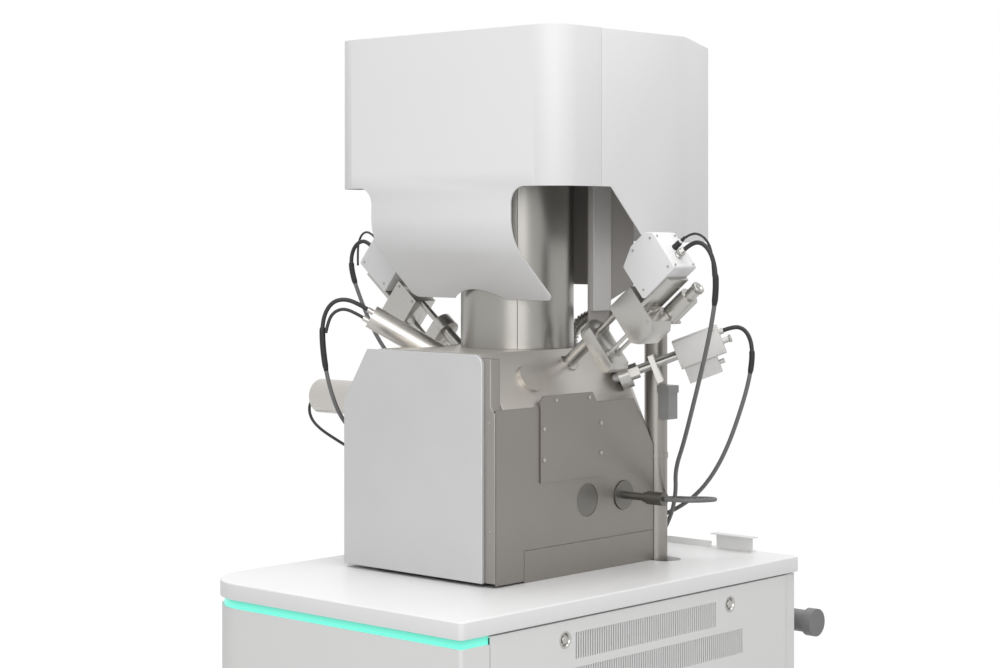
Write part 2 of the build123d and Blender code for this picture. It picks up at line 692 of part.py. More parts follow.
def head_plan(inset):
    half = HEAD_HALF_WIDTH - inset
    rear_half = HEAD_REAR_HALF - inset * 0.6
    front, rear = HEAD_FRONT_Y + inset, HEAD_REAR_Y - inset
    points = [
        (-half, front), (half, front), (half, HEAD_SIDE_END_Y), (rear_half, rear),
        (-rear_half, rear), (-half, HEAD_SIDE_END_Y),
    ]
    plan = make_face(Polyline(*points, close=True))
    plan = fillet(plan.vertices().group_by(Axis.Y)[0], HEAD_CORNER_RADIUS - inset)
    return Pos(HEAD_CENTRE_X, 0, 0) * plan


def head_skin(low, high):
    return Pos(0, 0, low) * extrude(head_plan(0), amount=high - low)


def head_shell():
    """The whole head cover with its slanting lower edge, before it is split at the seam."""
    low = APRON_BOTTOM
    shell = head_skin(low, HEAD_TOP)
    shell -= Pos(0, 0, low) * extrude(head_plan(HEAD_SHEET), amount=HEAD_TOP - HEAD_SHEET - low)
    step = HEAD_FRONT_LEVEL - HEAD_REAR_LEVEL
    below = [
        (HEAD_FRONT_Y - 50, low - 1), (HEAD_FRONT_Y - 50, HEAD_FRONT_LEVEL), (HEAD_STEP_Y, HEAD_FRONT_LEVEL),
        (HEAD_STEP_Y + step, HEAD_REAR_LEVEL), (HEAD_REAR_Y + 50, HEAD_REAR_LEVEL), (HEAD_REAR_Y + 50, low - 1),
    ]
    far = HEAD_HALF_WIDTH + 50
    return shell - prism_x(below, HEAD_CENTRE_X - far, HEAD_CENTRE_X + far)


def apron():
    """Front flap: straight down, bent back under the head, notched round the column."""
    angle = radians(APRON_BEND_ANGLE)
    centre_y = HEAD_FRONT_Y + APRON_BEND_RADIUS
    run = (APRON_BEND_LEVEL - APRON_BEND_RADIUS * sin(angle) - APRON_BOTTOM) / cos(angle)

    def path(radius):
        bend = [
            (centre_y - radius, HEAD_TOP - 60),
            (centre_y - radius, APRON_BEND_LEVEL),
            (centre_y - radius * cos(angle / 2), APRON_BEND_LEVEL - radius * sin(angle / 2)),
            (centre_y - radius * cos(angle), APRON_BEND_LEVEL - radius * sin(angle)),
        ]
        end = (bend[3][0] + run * sin(angle), bend[3][1] - run * cos(angle))
        return [(APRON_LEFT - 60, y, z) for y, z in [*bend, end]]

    outer = path(APRON_BEND_RADIUS)
    inner = path(APRON_BEND_RADIUS - HEAD_SHEET)
    wire = [
        Line(outer[0], outer[1]),
        ThreePointArc(outer[1], outer[2], outer[3]),
        Line(outer[3], outer[4]),
        Line(outer[4], inner[4]),
        Line(inner[4], inner[3]),
        ThreePointArc(inner[3], inner[2], inner[1]),
        Line(inner[1], inner[0]),
        Line(inner[0], outer[0]),
    ]
    flap = extrude(make_face(Wire(wire)), amount=APRON_RIGHT - APRON_LEFT + 120, dir=(1, 0, 0))
    flap &= block(APRON_LEFT - 60, APRON_RIGHT + 60, HEAD_FRONT_Y, 200, 0, HEAD_TOP - 80)
    low = APRON_BOTTOM - 10
    tall = HEAD_FRONT_LEVEL + 30
    width = APRON_RIGHT - APRON_LEFT
    front = Rectangle(width, HEAD_FRONT_LEVEL - low, align=(Align.MIN, Align.MIN))
    front = Pos(APRON_LEFT, low) * front
    front += Pos(APRON_LEFT - 60, HEAD_FRONT_LEVEL) * Rectangle(width + 120, 30, align=(Align.MIN, Align.MIN))
    inner_corners = [
        v for v in front.vertices()
        if abs(v.Y - HEAD_FRONT_LEVEL) < 1 and APRON_LEFT - 1 < v.X < APRON_RIGHT + 1
    ]
    front = fillet(inner_corners, APRON_FILLET)
    stencil = Plane.XZ.offset(-300).location * extrude(front, amount=600)
    flap &= stencil
    tips = flap.edges().filter_by(lambda e: e.center().Z < APRON_BOTTOM + 40)
    flap -= upright(COLUMN_X, COLUMN_Y, APRON_NOTCH_RADIUS, 500, APRON_BEND_LEVEL)
    return flap


def head_front_cover():
    keep = block(-500, 500, HEAD_FRONT_Y - 50, HEAD_SEAM_Y - HEAD_SEAM / 2, APRON_BOTTOM - 50, HEAD_TOP + 10)
    front = head_shell() & keep
    return front + (apron() & block(-500, 500, -400, 300, 0, HEAD_TOP - HEAD_SHEET))


def head_rear_cover():
    return head_shell() & block(-500, 500, HEAD_SEAM_Y + HEAD_SEAM / 2, HEAD_REAR_Y + 50, 500, HEAD_TOP + 10)


# Vacuum line


def vacuum_pipe():
    """Stiff line: up through the slot in the table, then an elbow towards the column."""
    low = FLOOR + FRAME_LEVEL + FRAME_TUBE + 236
    elbow_radius = 46
    elbow_level = 474
    outer = upright(PIPE_X, PIPE_Y, PIPE_RADIUS, FLOAT_TOP + 2, elbow_level)
    outer += upright(PIPE_X, PIPE_Y, PIPE_RADIUS, low, FLOAT_TOP + 2)
    ring = Pos(PIPE_X - elbow_radius, PIPE_Y, elbow_level) * Rot(90, 0, 0) * Torus(elbow_radius, PIPE_RADIUS)
    ring &= block(
        PIPE_X - elbow_radius, PIPE_X + 60, PIPE_Y - 60, PIPE_Y + 60, elbow_level, elbow_level + 120
    )
    outer += ring
    outer += along_x(PIPE_Y, elbow_level + elbow_radius, PIPE_RADIUS, PIPE_X - elbow_radius - 6, PIPE_X - elbow_radius)
    outer += upright(PIPE_X, PIPE_Y, PIPE_RADIUS + 1.8, 215, 227)
    return outer


HOSE_RADIUS = 11
HOSE_RIB = 3


def vacuum_hose():
    """Ribbed hose from the elbow over to the rear of the chamber top."""
    start = (PIPE_X - 52, PIPE_Y, 520)
    route = [start, (62, PIPE_Y - 4, 527), (8, 280, 524), (-34, 262, 498), (-46, 257, CHAMBER_TOP)]
    return ribbed_tube(route, HOSE_RADIUS, HOSE_RIB) - chamber_envelope() - vacuum_pipe()


def ribbed_tube(route, radius, rib):
    line = cord_line(route, radius * 2)
    tube = tube_along(line, radius)
    pitch = rib * 2.6
    count = int(line.length / pitch)
    for index in range(1, count):
        share = index / count
        place = Plane(origin=line @ share, z_dir=line % share)
        tube += place.location * Cylinder(radius + rib, pitch * 0.5)
    return tube


def valve_box():
    """Small valve clipped to the pipe."""
    box = block(PIPE_X + 8, PIPE_X + 46, PIPE_Y - 16, PIPE_Y + 16, 300, 356)
    box += block(PIPE_X + 4, PIPE_X + 48, PIPE_Y - 18, PIPE_Y + 18, 356, 372)
    return box - upright(PIPE_X, PIPE_Y, PIPE_RADIUS, 290, 380)


def turbo_pump():
    """Finned pump on the chamber's rear wall."""
    x, z = (CHAMBER_LEFT + CHAMBER_RIGHT) / 2 - 30, 190
    pump = along_y(x, z, 80, CHAMBER_REAR, CHAMBER_REAR + 14)
    pump += along_y(x, z, 62, CHAMBER_REAR + 14, CHAMBER_REAR + 130)
    for index in range(6):
        y = CHAMBER_REAR + 40 + index * 14
        pump += along_y(x, z, 72, y, y + 6)
    return pump + block(x - 30, x + 30, CHAMBER_REAR + 60, CHAMBER_REAR + 120, z - 120, z)


# Detectors


def retract_frame(side):
    """Local frame of a retractable detector: X out along it, Z its top side."""
    angle = radians(RETRACT_ANGLE)
    out = Vector(side * cos(angle), 0, sin(angle))
    top = Vector(-side * sin(angle), 0, cos(angle))
    origin = (COLUMN_X + side * PORT_FROM_AXIS, COLUMN_Y, PORT_LEVEL)
    return Plane(origin=origin, x_dir=out, z_dir=top).location


def slant_frame():
    out = slant_axis()
    side = Vector(0, 0, 1).cross(out).normalized()
    return Plane(origin=SLANT_PORT, x_dir=out, z_dir=out.cross(side)).location


def rod(radius, start, end, v=0, w=0):
    """A rod along the local X axis, from start to end."""
    return Pos((start + end) / 2, v, w) * Rot(0, 90, 0) * Cylinder(radius, end - start)


def slide_rod_places():
    return [(v, -SLIDE_ROD_DROP) for v in (-SLIDE_ROD_SPACING / 2, SLIDE_ROD_SPACING / 2)]


def port_holder():
    """Tube and holder block that stay on the chamber, with two slide rods."""
    tube = rod(PORT_TUBE_RADIUS, -40, HOLDER_START)
    tube += rod(PORT_TUBE_RADIUS + 9, -40, 3)
    half = HOLDER_HALF_WIDTH
    plate = block(HOLDER_START, HOLDER_END, -half, half, -HOLDER_DROP, 0)
    plate += rod(half, HOLDER_START, HOLDER_END)
    plate = chamfer(plate.edges().filter_by(Axis.Y).group_by(Axis.Z)[0], 9)
    holder = tube + plate - rod(PROBE_RADIUS + 1, -41, HOLDER_START)
    holder -= rod(PROBE_RADIUS + GUIDE_RUNNING, HOLDER_START, HOLDER_END)
    for v, w in slide_rod_places():
        holder += rod(SLIDE_ROD_RADIUS, HOLDER_END, SLIDE_ROD_END, v, w)
        holder += rod(SLIDE_ROD_RADIUS + 4, HOLDER_END, HOLDER_END + 4, v, w)
    return holder


def carriage():
    """Sliding block with its probe, the shelf under the housing and the drive motor."""
    front, back = CARRIAGE_FRONT_V, CARRIAGE_BACK_V
    body = block(CARRIAGE_START, CARRIAGE_END, front, back, -CARRIAGE_DROP, CARRIAGE_TOP)
    body = chamfer(body.edges().filter_by(Axis.Y).group_by(Axis.Z)[0], 14)
    shelf = -HOUSING_DROP
    body += block(CARRIAGE_END, HOUSING_END - 30, front, back, shelf - 9, shelf)
    for v, w in slide_rod_places():
        body -= rod(SLIDE_ROD_RADIUS + GUIDE_RUNNING, CARRIAGE_START, CARRIAGE_END, v, w)
    body += rod(PROBE_RADIUS, HOLDER_START - 60, CARRIAGE_START)
    body += rod(PROBE_TIP_RADIUS, -PROBE_REACH, HOLDER_START - 60)
    motor = rod(MOTOR_RADIUS, CARRIAGE_START + 62, CARRIAGE_START + 124, MOTOR_V, shelf - 26)
    motor += rod(MOTOR_RADIUS - 8, CARRIAGE_START + 124, CARRIAGE_START + 146, MOTOR_V, shelf - 26)
    mount = block(CARRIAGE_START + 58, CARRIAGE_START + 62, back, MOTOR_V + MOTOR_RADIUS, shelf - 46, shelf - 6)
    return body + mount + motor


def housing():
    """White electronics housing with a sloping top front edge."""
    outline = [
        (HOUSING_START, -HOUSING_DROP), (HOUSING_END, -HOUSING_DROP), (HOUSING_END, HOUSING_TOP - 14),
        (HOUSING_END - 14, HOUSING_TOP), (HOUSING_START + 42, HOUSING_TOP), (HOUSING_START, HOUSING_TOP - 20),
    ]
    box = prism_y(outline, HOUSING_FRONT_V, HOUSING_BACK_V)
    box = fillet(box.edges().filter_by(Axis.Y), 5)
    box += rod(THIN_PLUG_RADIUS, HOUSING_END, HOUSING_END + THIN_PLUG_LENGTH, THIN_PLUG_V, THIN_PLUG_W)
    return box + rod(PLUG_RADIUS, HOUSING_END, HOUSING_END + PLUG_LENGTH, PLUG_V, PLUG_W)


def detector_holders():
    keep = []
    for side in (1, -1):
        local = port_holder() if side > 0 else mirror(port_holder(), Plane.XZ)
        placed = retract_frame(side) * local
        keep.append(placed - chamber_envelope())
    return keep


def placed_detector(shape, side):
    local = shape if side > 0 else mirror(shape, Plane.XZ)
    return retract_frame(side) * local


def slant_holder():
    """Port flange, two rails and their end bracket on the rear corner facet."""
    base = rod(30, -12, 12) + rod(17, 12, 30)
    for v in (-SLANT_RAIL_SPACING / 2, SLANT_RAIL_SPACING / 2):
        base += rod(SLANT_RAIL_RADIUS, 12, SLANT_RAIL_END, v)
        base += block(12, 34, v - 9, v + 9, -9, 9)
    base += block(60, 72, -30, 30, -40, -10) + block(60, 72, -30, -12, -12, 20) + block(60, 72, 12, 30, -12, 20)
    base -= rod(SLANT_TUBE_RADIUS + 0.4, -20, 80)
    return slant_frame() * base - chamber_envelope()


def slant_detector():
    """Sliding detector: probe tube, upper box and the smaller box under it."""
    half = SLANT_BOX_WIDTH / 2
    high = SLANT_BOX_HEIGHT / 2
    start, end = SLANT_BOX_START, SLANT_BOX_END
    box = block(start, end, -half, half, -high, high)
    box = chamfer(box.edges().filter_by(Axis.X), 3)
    box += block(start + 6, end - 22, -half + 6, half - 6, -high - 34, -high)
    for v in (-SLANT_RAIL_SPACING / 2, SLANT_RAIL_SPACING / 2):
        box -= rod(SLANT_RAIL_RADIUS + GUIDE_RUNNING, start, start + 72, v)
    box += rod(SLANT_TUBE_RADIUS, -70, start)
    box += rod(6.5, end, end + SLANT_PLUG_LENGTH, SLANT_PLUG_V, SLANT_PLUG_W)
    box += rod(5, end - 22, end - 10, 0, -high - 14)
    box += rod(6.5, end, end + 14, -4, -6)
    return slant_frame() * box


def angled_detector():
    """Brushed tube that leans out over the front left of the chamber, with two sockets."""
    angle = radians(ANGLED_TUBE_ANGLE)
    flat = cos(angle) / sqrt(2)
    out = Vector(-flat, -flat, sin(angle))
    origin = (COLUMN_X - ANGLED_TUBE_OFFSET, COLUMN_Y - ANGLED_TUBE_OFFSET, CHAMBER_TOP)
    local = Plane(origin=origin, x_dir=out, z_dir=Vector(0, 0, 1) - out * sin(angle)).location
    tube = rod(ANGLED_TUBE_RADIUS, -70, ANGLED_TUBE_LENGTH)
    for w in ANGLED_PLUG_HEIGHTS:
        tube += rod(6, ANGLED_TUBE_LENGTH, ANGLED_TUBE_LENGTH + ANGLED_PLUG_LENGTH, 0, w)
    return local * tube - chamber_envelope() - block(-400, 100, -300, 200, 200, 349)


def side_camera():
    tube = along_x(CAMERA_Y, CAMERA_LEVEL, CAMERA_RADIUS, CAMERA_END, CHAMBER_LEFT + 40)
    tube = fillet(tube.edges().group_by(Axis.X)[0], 3)
    return tube - chamber_envelope()


# Door and specimen stage


def door_outline(right, top):
    shoulder = CHAMBER_TOP - BEVEL_HEIGHT
    left = CHAMBER_LEFT
    return [
        (left + 0.6, HOVER + 4), (CHAMBER_RIGHT - 0.6, HOVER + 4), (CHAMBER_RIGHT - 0.6, shoulder - 4),
        (right, shoulder + 8), (right, top), (left + BEVEL_WIDTH, top), (left + 0.6, shoulder - 4),
    ]


def door_plate():
    """Thick door with a lip that covers the front edges of the side covers."""
    back = CHAMBER_FRONT - DOOR_GAP
    front = back - DOOR_THICKNESS
    top = CHAMBER_TOP - 7
    plate = prism_y(door_outline(CHAMBER_RIGHT - 8, top), front, back)
    lip_z = CHAMBER_TOP - BEVEL_HEIGHT - 4
    plate += block(CHAMBER_RIGHT - 8, CHAMBER_RIGHT + COVER_SHEET, front, front + DOOR_LIP, HOVER + 4, lip_z)
    plate += block(CHAMBER_LEFT - COVER_SHEET, CHAMBER_LEFT + 8, front, front + DOOR_LIP, HOVER + 4, lip_z)
    groove = seal_ring(back - SEAL_SECTION, back, 1)
    plate -= groove
    return plate


def seal_ring(y0, y1, slack):
    margin = SEAL_MARGIN
    left, right = CHAMBER_LEFT + WALL - margin, CHAMBER_RIGHT - WALL + margin
    low, high = CHAMBER_BOTTOM + FLOOR_WALL - margin, CHAMBER_TOP - TOP_WALL + margin
    cut = CAVITY_CORNER
    width = SEAL_SECTION + slack

    def loop(spread):
        corner = cut + spread * 0.4
        return [
            (left - spread, low - spread), (right + spread, low - spread), (right + spread, high + spread - corner),
            (right + spread - corner, high + spread), (left - spread + corner, high + spread),
            (left - spread, high + spread - corner),
        ]

    return prism_y(loop(width / 2), y0, y1) - prism_y(loop(-width / 2), y0, y1)


def door_seal():
    back = CHAMBER_FRONT - DOOR_GAP
    return seal_ring(back - SEAL_SECTION, back, 0)


def door_fascia():
    """Satin front plate; its left top corner follows the chamber, the right is rounded."""
    back = CHAMBER_FRONT - DOOR_GAP - DOOR_THICKNESS
    shoulder = CHAMBER_TOP - BEVEL_HEIGHT
    top = CHAMBER_TOP + 1
    outline = [
        (FASCIA_LEFT, FASCIA_BOTTOM), (FASCIA_RIGHT, FASCIA_BOTTOM), (FASCIA_RIGHT, top),
        (FASCIA_LEFT + BEVEL_WIDTH + 3, top), (FASCIA_LEFT, shoulder),
    ]
    plate = prism_y(outline, back - FASCIA_THICKNESS, back)
    edges = plate.edges().filter_by(Axis.Y)
    right_top = edges.sort_by(lambda e: e.center().X + e.center().Z)[-1]
    plate = fillet(right_top, FASCIA_CORNER)
    left_low = plate.edges().filter_by(Axis.Y).filter_by(
        lambda e: abs(e.center().X - FASCIA_LEFT) < 1 and abs(e.center().Z - shoulder) < 1
    )
    plate = fillet(left_low, FASCIA_CORNER)
    return chamfer(plate.faces().sort_by(Axis.Y)[0].edges(), 1)


def door_rods():
    back = CHAMBER_FRONT - DOOR_GAP
    return [along_y(guide_x(side), GUIDE_LEVEL, GUIDE_ROD_RADIUS, back, back + GUIDE_LENGTH) for side in (1, -1)]


STAGE_BACK = CHAMBER_FRONT - DOOR_GAP
HUB_END = STAGE_BACK + 46
ARM_START = HUB_END + STAGE_GAP
ARM_END = ARM_START + 18
LIFT_LOW = CRADLE_FLOOR_LEVEL + STAGE_PLATE + LIFT_REST_GAP
LIFT_TOP = LIFT_LOW + STAGE_PLATE
CARRY_LOW = LIFT_TOP + STAGE_GAP
CROSS_LOW = CARRY_LOW + STAGE_PLATE + STAGE_GAP
DISC_LOW = CROSS_LOW + STAGE_PLATE + STAGE_GAP


def stage_bracket():
    """Bearing plate and hub on the inside of the door."""
    plate = block(COLUMN_X - 62, COLUMN_X + 62, STAGE_BACK, STAGE_BACK + 16, TILT_LEVEL - 90, TILT_LEVEL + 50)
    hub = along_y(COLUMN_X, TILT_LEVEL, 34, STAGE_BACK + 16, HUB_END)
    return plate + hub - along_y(COLUMN_X, TILT_LEVEL, TILT_SHAFT_RADIUS + GUIDE_RUNNING, STAGE_BACK + 16, HUB_END)


def stage_cradle():
    """Arm on the tilt shaft and the floor that the slides stand on."""
    low = CRADLE_FLOOR_LEVEL
    outline = [
        (COLUMN_X - CRADLE_HALF_WIDTH, low), (COLUMN_X + CRADLE_HALF_WIDTH, low),
        (COLUMN_X + CRADLE_HALF_WIDTH, low + 40), (COLUMN_X + 34, TILT_LEVEL), (COLUMN_X - 34, TILT_LEVEL),
        (COLUMN_X - CRADLE_HALF_WIDTH, low + 40),
    ]
    arm = prism_y(outline, ARM_START, ARM_END) + along_y(COLUMN_X, TILT_LEVEL, 34, ARM_START, ARM_END)
    arm += block(
        COLUMN_X - CRADLE_HALF_WIDTH, COLUMN_X + CRADLE_HALF_WIDTH, ARM_START, CRADLE_REAR_Y,
        low, low + STAGE_PLATE,
    )
    arm += along_y(COLUMN_X, TILT_LEVEL, TILT_SHAFT_RADIUS, STAGE_BACK + 18, ARM_START)
    for dx in (-42, 42):
        arm += upright(COLUMN_X + dx, PILLAR_Y, PILLAR_RADIUS, low + STAGE_PLATE, PILLAR_TOP)
    return arm


def stage_lift():
    plate = block(COLUMN_X - 60, COLUMN_X + 60, ARM_END + 2, CRADLE_REAR_Y - 10, LIFT_LOW, LIFT_TOP)
    for dx in (-42, 42):
        plate += upright(COLUMN_X + dx, PILLAR_Y, PILLAR_RADIUS + 5, LIFT_TOP, LIFT_TOP + 14)
        plate -= upright(COLUMN_X + dx, PILLAR_Y, PILLAR_RADIUS + GUIDE_RUNNING, LIFT_LOW, LIFT_TOP + 14)
    return plate


def stage_long_slide():
    plate = block(COLUMN_X - 52, COLUMN_X + 52, COLUMN_Y - 52, COLUMN_Y + 52, CARRY_LOW, CARRY_LOW + STAGE_PLATE)
    return chamfer(plate.edges().filter_by(Axis.Z), 6)


def stage_cross_slide():
    plate = block(COLUMN_X - 50, COLUMN_X + 50, COLUMN_Y - 46, COLUMN_Y + 46, CROSS_LOW, CROSS_LOW + STAGE_PLATE)
    return chamfer(plate.edges().filter_by(Axis.Z), 6)


def rotary_table():
    """Turning disc with a ring of specimen stubs standing in it."""
    disc = upright(COLUMN_X, COLUMN_Y, TABLE_DISC_RADIUS, DISC_LOW, DISC_LOW + 10)
    disc = chamfer(disc.edges().group_by(Axis.Z)[-1], 1.5)
    top = DISC_LOW + 10
    pieces = [disc]
    for index in range(6):
        angle = radians(60 * index)
        x, y = COLUMN_X + STUB_CIRCLE * cos(angle), COLUMN_Y + STUB_CIRCLE * sin(angle)
        pieces.append(upright(x, y, STUB_RADIUS, top, top + 8))
    pieces.append(upright(COLUMN_X, COLUMN_Y, STUB_RADIUS, top, top + 8))
    return pieces


# Cables


def bend_radii(route):
    radii = []
    for before, here, after in zip(route, route[1:], route[2:]):
        first, second = Vector(*here) - Vector(*before), Vector(*after) - Vector(*here)
        turn = radians(first.get_angle(second))
        radii.append(BEND_SHARE * min(first.length, second.length) / tan(turn / 2))
    return radii


def cord_line(route, diameter):
    radii = bend_radii(route)
    print("bends, in diameters:", [round(r / diameter, 1) for r in radii])
    return FilletPolyline(*route, radius=radii)


def tube_along(line, radius):
    start = Plane(origin=line @ 0, z_dir=line % 0)
    return sweep(start * Circle(radius), path=line)


def cord(route, diameter, *ends):
    """Round cable along a route, cut off flush with the pieces that it ends in."""
    cable = tube_along(cord_line(route, diameter), diameter / 2)
    for piece in ends:
        cable -= piece
    return cable


# Routes of the cables: points on the machine, in the table frame.
# Each starts square out of its plug and ends square in what it goes back into.
LEAD_RIGHT_A = [
    (404.9, 70, 683.9), (427, 71, 699), (453, 75, 694), (469, 79, 672), (471, 83, 643), (470, 87, 613),
]
CABLE_RIGHT_A = [
    (408.2, 66, 660.8), (429, 66, 677), (454, 67, 681), (474, 69, 665), (483, 73, 637), (484, 77, 604),
    (478, 82, 566), (463, 91, 520), (434, 110, 459), (391, 141, 389), (343, 179, 322), (292, 222, 259),
    (235, 268, 198), (198, 319, 142), (160, 350, 82), (131, 331, 18), (124, 324, -60),
]
CABLE_RIGHT_B = [
    (313.9, 330.9, 492.4), (333, 345, 501.5), (353, 352, 496), (367, 354, 477), (372, 355, 449),
    (369, 355, 414), (358, 354, 368), (341, 351, 316), (319, 349, 260), (290, 350, 208), (255, 354, 165),
    (215, 361, 131), (172, 367, 105), (132, 366, 85), (97, 346, 76), (73, 314, 72), (66, 277, 71),
]
PORT_CABLE = [
    (278, 176, 147.7), (321, 180, 148), (351, 210, 148), (352, 253, 146), (325, 286, 142), (286, 305, 138),
    (245, 322, 133), (209, 344, 128), (170, 362, 124), (128, 355, 120), (103, 320, 118), (99, 277, 118),
]
LEAD_LEFT_A = [
    (-464.9, 70, 683.9), (-486, 72, 699), (-511, 74, 699), (-527, 75, 681), (-530, 74, 653), (-527, 72, 623),
]
CABLE_LEFT_A = [
    (-468.2, 66, 660.8), (-488, 66, 677), (-512, 65, 679), (-532, 63, 663), (-538, 60, 635),
    (-528, 57, 599), (-504, 54, 556), (-476, 54, 506), (-440, 54, 455), (-397, 56, 412),
    (-345, 59, 374), (-298, 60, 350), (-252, 61, 340),
]
LEAD_LEFT_B = [
    (-261.3, -167.3, 518.6), (-276, -182, 531), (-292, -197, 538), (-306, -211, 530), (-314, -219, 511),
    (-317, -223, 486),
]
CABLE_LEFT_B = [
    (-254.5, -160.6, 535.9), (-270, -176, 549), (-288, -193, 558), (-306, -209, 554), (-319, -220, 535),
    (-326, -225, 504), (-327, -223, 460), (-324, -217, 409), (-320, -205, 360), (-316, -187, 315),
    (-306, -166, 282), (-284, -145, 259), (-252, -137, 248),
]
CAMERA_CABLE = [
    (-455, -110, 335), (-472, -110, 336), (-486, -110, 327), (-493, -110, 311), (-489, -110, 293),
    (-475, -110, 278), (-451, -110, 264), (-417, -109, 250), (-377, -108, 235), (-334, -107, 221),
    (-292, -106, 209), (-252, -105, 201),
]


def nodes():
    envelope = chamber_envelope()
    cover_left = side_cover(-1)
    ports = port_fittings()
    angled = angled_detector()
    camera = side_camera()
    slanting = slant_detector()
    housing_right = placed_detector(housing(), 1)
    housing_left = placed_detector(housing(), -1)
    return {
        "levelling_feet": levelling_feet(),
        "base_frame": base_frame(),
        "tabletop": tabletop(),
        "front_panel": front_panel(),
        "side_panels": side_panels(),
        "rear_panel": rear_panel(),
        "status_light": status_light(),
        "panel_fasteners": panel_fasteners(),
        "rear_bumper": rear_bumper(),
        "rear_trim": rear_trim(),
        "float_plate": float_plate(),
        "air_springs": air_springs(),
        "backing_pump": backing_pump(),
        "chamber_body": chamber_body(),
        "side_cover_right": side_cover(1),
        "side_cover_left": cover_left,
        "access_plate": access_plate(),
        "cover_screws": cover_screws(),
        "port_fittings": ports,
        "objective_lens": objective_lens(),
        "electron_column": electron_column(),
        "column_cover_front": column_shell(COLUMN_SEAM_ANGLE + 180),
        "column_cover_rear": column_shell(COLUMN_SEAM_ANGLE),
        "mast": mast(),
        "cable_duct": cable_duct(),
        "head_front_cover": head_front_cover(),
        "head_rear_cover": head_rear_cover(),
        "vacuum_pipe": vacuum_pipe(),
        "vacuum_hose": vacuum_hose(),
        "valve_box": valve_box(),
        "turbo_pump": turbo_pump(),
        "side_camera": camera,
        "angled_detector": angled,
        "detector_holders": detector_holders(),
        "slant_holder": slant_holder(),
        "door_plate": door_plate(),
        "door_fascia": door_fascia(),
        "door_seal": door_seal(),
        "door_rods": door_rods(),
        "stage_bracket": stage_bracket(),
        "stage_cradle": stage_cradle(),
        "stage_lift": stage_lift(),
        "stage_long_slide": stage_long_slide(),
        "stage_cross_slide": stage_cross_slide(),
        "rotary_table": rotary_table(),
        "carriage_right": placed_detector(carriage(), 1),
        "housing_right": housing_right,
        "carriage_left": placed_detector(carriage(), -1),
        "housing_left": housing_left,
        "slant_detector": slanting,
        "lead_right_a": cord(LEAD_RIGHT_A, THIN_DIAMETER, housing_right),
        "cable_right_a": cord(CABLE_RIGHT_A, CABLE_DIAMETER, housing_right),
        "cable_right_b": cord(CABLE_RIGHT_B, CABLE_DIAMETER, slanting, envelope),
        "port_cable": cord(PORT_CABLE, CABLE_DIAMETER, envelope, *ports),
        "lead_left_a": cord(LEAD_LEFT_A, THIN_DIAMETER, housing_left),
        "cable_left_a": cord(CABLE_LEFT_A, CABLE_DIAMETER, housing_left, cover_left),
        "lead_left_b": cord(LEAD_LEFT_B, LEAD_DIAMETER, angled),
        "cable_left_b": cord(CABLE_LEFT_B, CABLE_DIAMETER, angled, cover_left),
        "camera_cable": cord(CAMERA_CABLE, CAMERA_CABLE_DIAMETER, camera, cover_left),
    }


def as_compound(shape):
    pieces = shape if isinstance(shape, list) else [shape]
    solids = [solid for piece in pieces for solid in piece.solids()]
    return solids[0] if len(solids) == 1 else Compound(children=solids)


def stored_frame(pieces):
    """Move to the floor, under the middle of everything but the free cables."""
    boxes = [piece.bounding_box() for name, piece in pieces.items() if name not in FREE_CABLES]
    middle = Vector(
        (min(box.min.X for box in boxes) + max(box.max.X for box in boxes)) / 2,
        (min(box.min.Y for box in boxes) + max(box.max.Y for box in boxes)) / 2,
    )
    print("moved by", round(-middle.X, 1), round(-middle.Y, 1), TABLE_HEIGHT)
    return Pos(round(-middle.X, 1), round(-middle.Y, 1), TABLE_HEIGHT)


FREE_CABLES = (
    "lead_right_a", "cable_right_a", "cable_right_b", "port_cable", "lead_left_a", "cable_left_a",
    "lead_left_b", "cable_left_b", "camera_cable",
)


def main():
    os.makedirs("parts", exist_ok=True)
    pieces = {name: as_compound(shape) for name, shape in nodes().items()}
    place = stored_frame(pieces)
    for name, piece in pieces.items():
        export_step(place * piece, f"parts/{name}.step")


if __name__ == "__main__":
    main()
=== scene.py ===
import json
import math

import bmesh
import bpy
from bpy.props import FloatProperty, FloatVectorProperty, IntProperty, PointerProperty
from mathutils import Matrix, Vector


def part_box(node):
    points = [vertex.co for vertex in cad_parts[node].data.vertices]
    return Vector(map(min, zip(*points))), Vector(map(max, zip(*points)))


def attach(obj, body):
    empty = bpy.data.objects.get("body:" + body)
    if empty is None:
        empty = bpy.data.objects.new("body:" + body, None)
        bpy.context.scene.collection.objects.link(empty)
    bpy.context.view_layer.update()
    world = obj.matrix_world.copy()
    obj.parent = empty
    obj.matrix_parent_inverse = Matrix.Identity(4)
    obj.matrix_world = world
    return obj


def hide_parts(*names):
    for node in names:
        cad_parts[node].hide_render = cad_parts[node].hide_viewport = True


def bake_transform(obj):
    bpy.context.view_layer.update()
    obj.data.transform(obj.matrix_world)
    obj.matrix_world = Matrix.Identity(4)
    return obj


bl_info = {
    "name": "Scanning Electron Microscope",
    "version": (1, 0, 0),
    "blender": (4, 5, 0),
    "location": "3D View > Sidebar > Microscope",
    "description": "Dresses the packed microscope: finishes, cables, fittings, light and camera",
    "category": "Object",
}

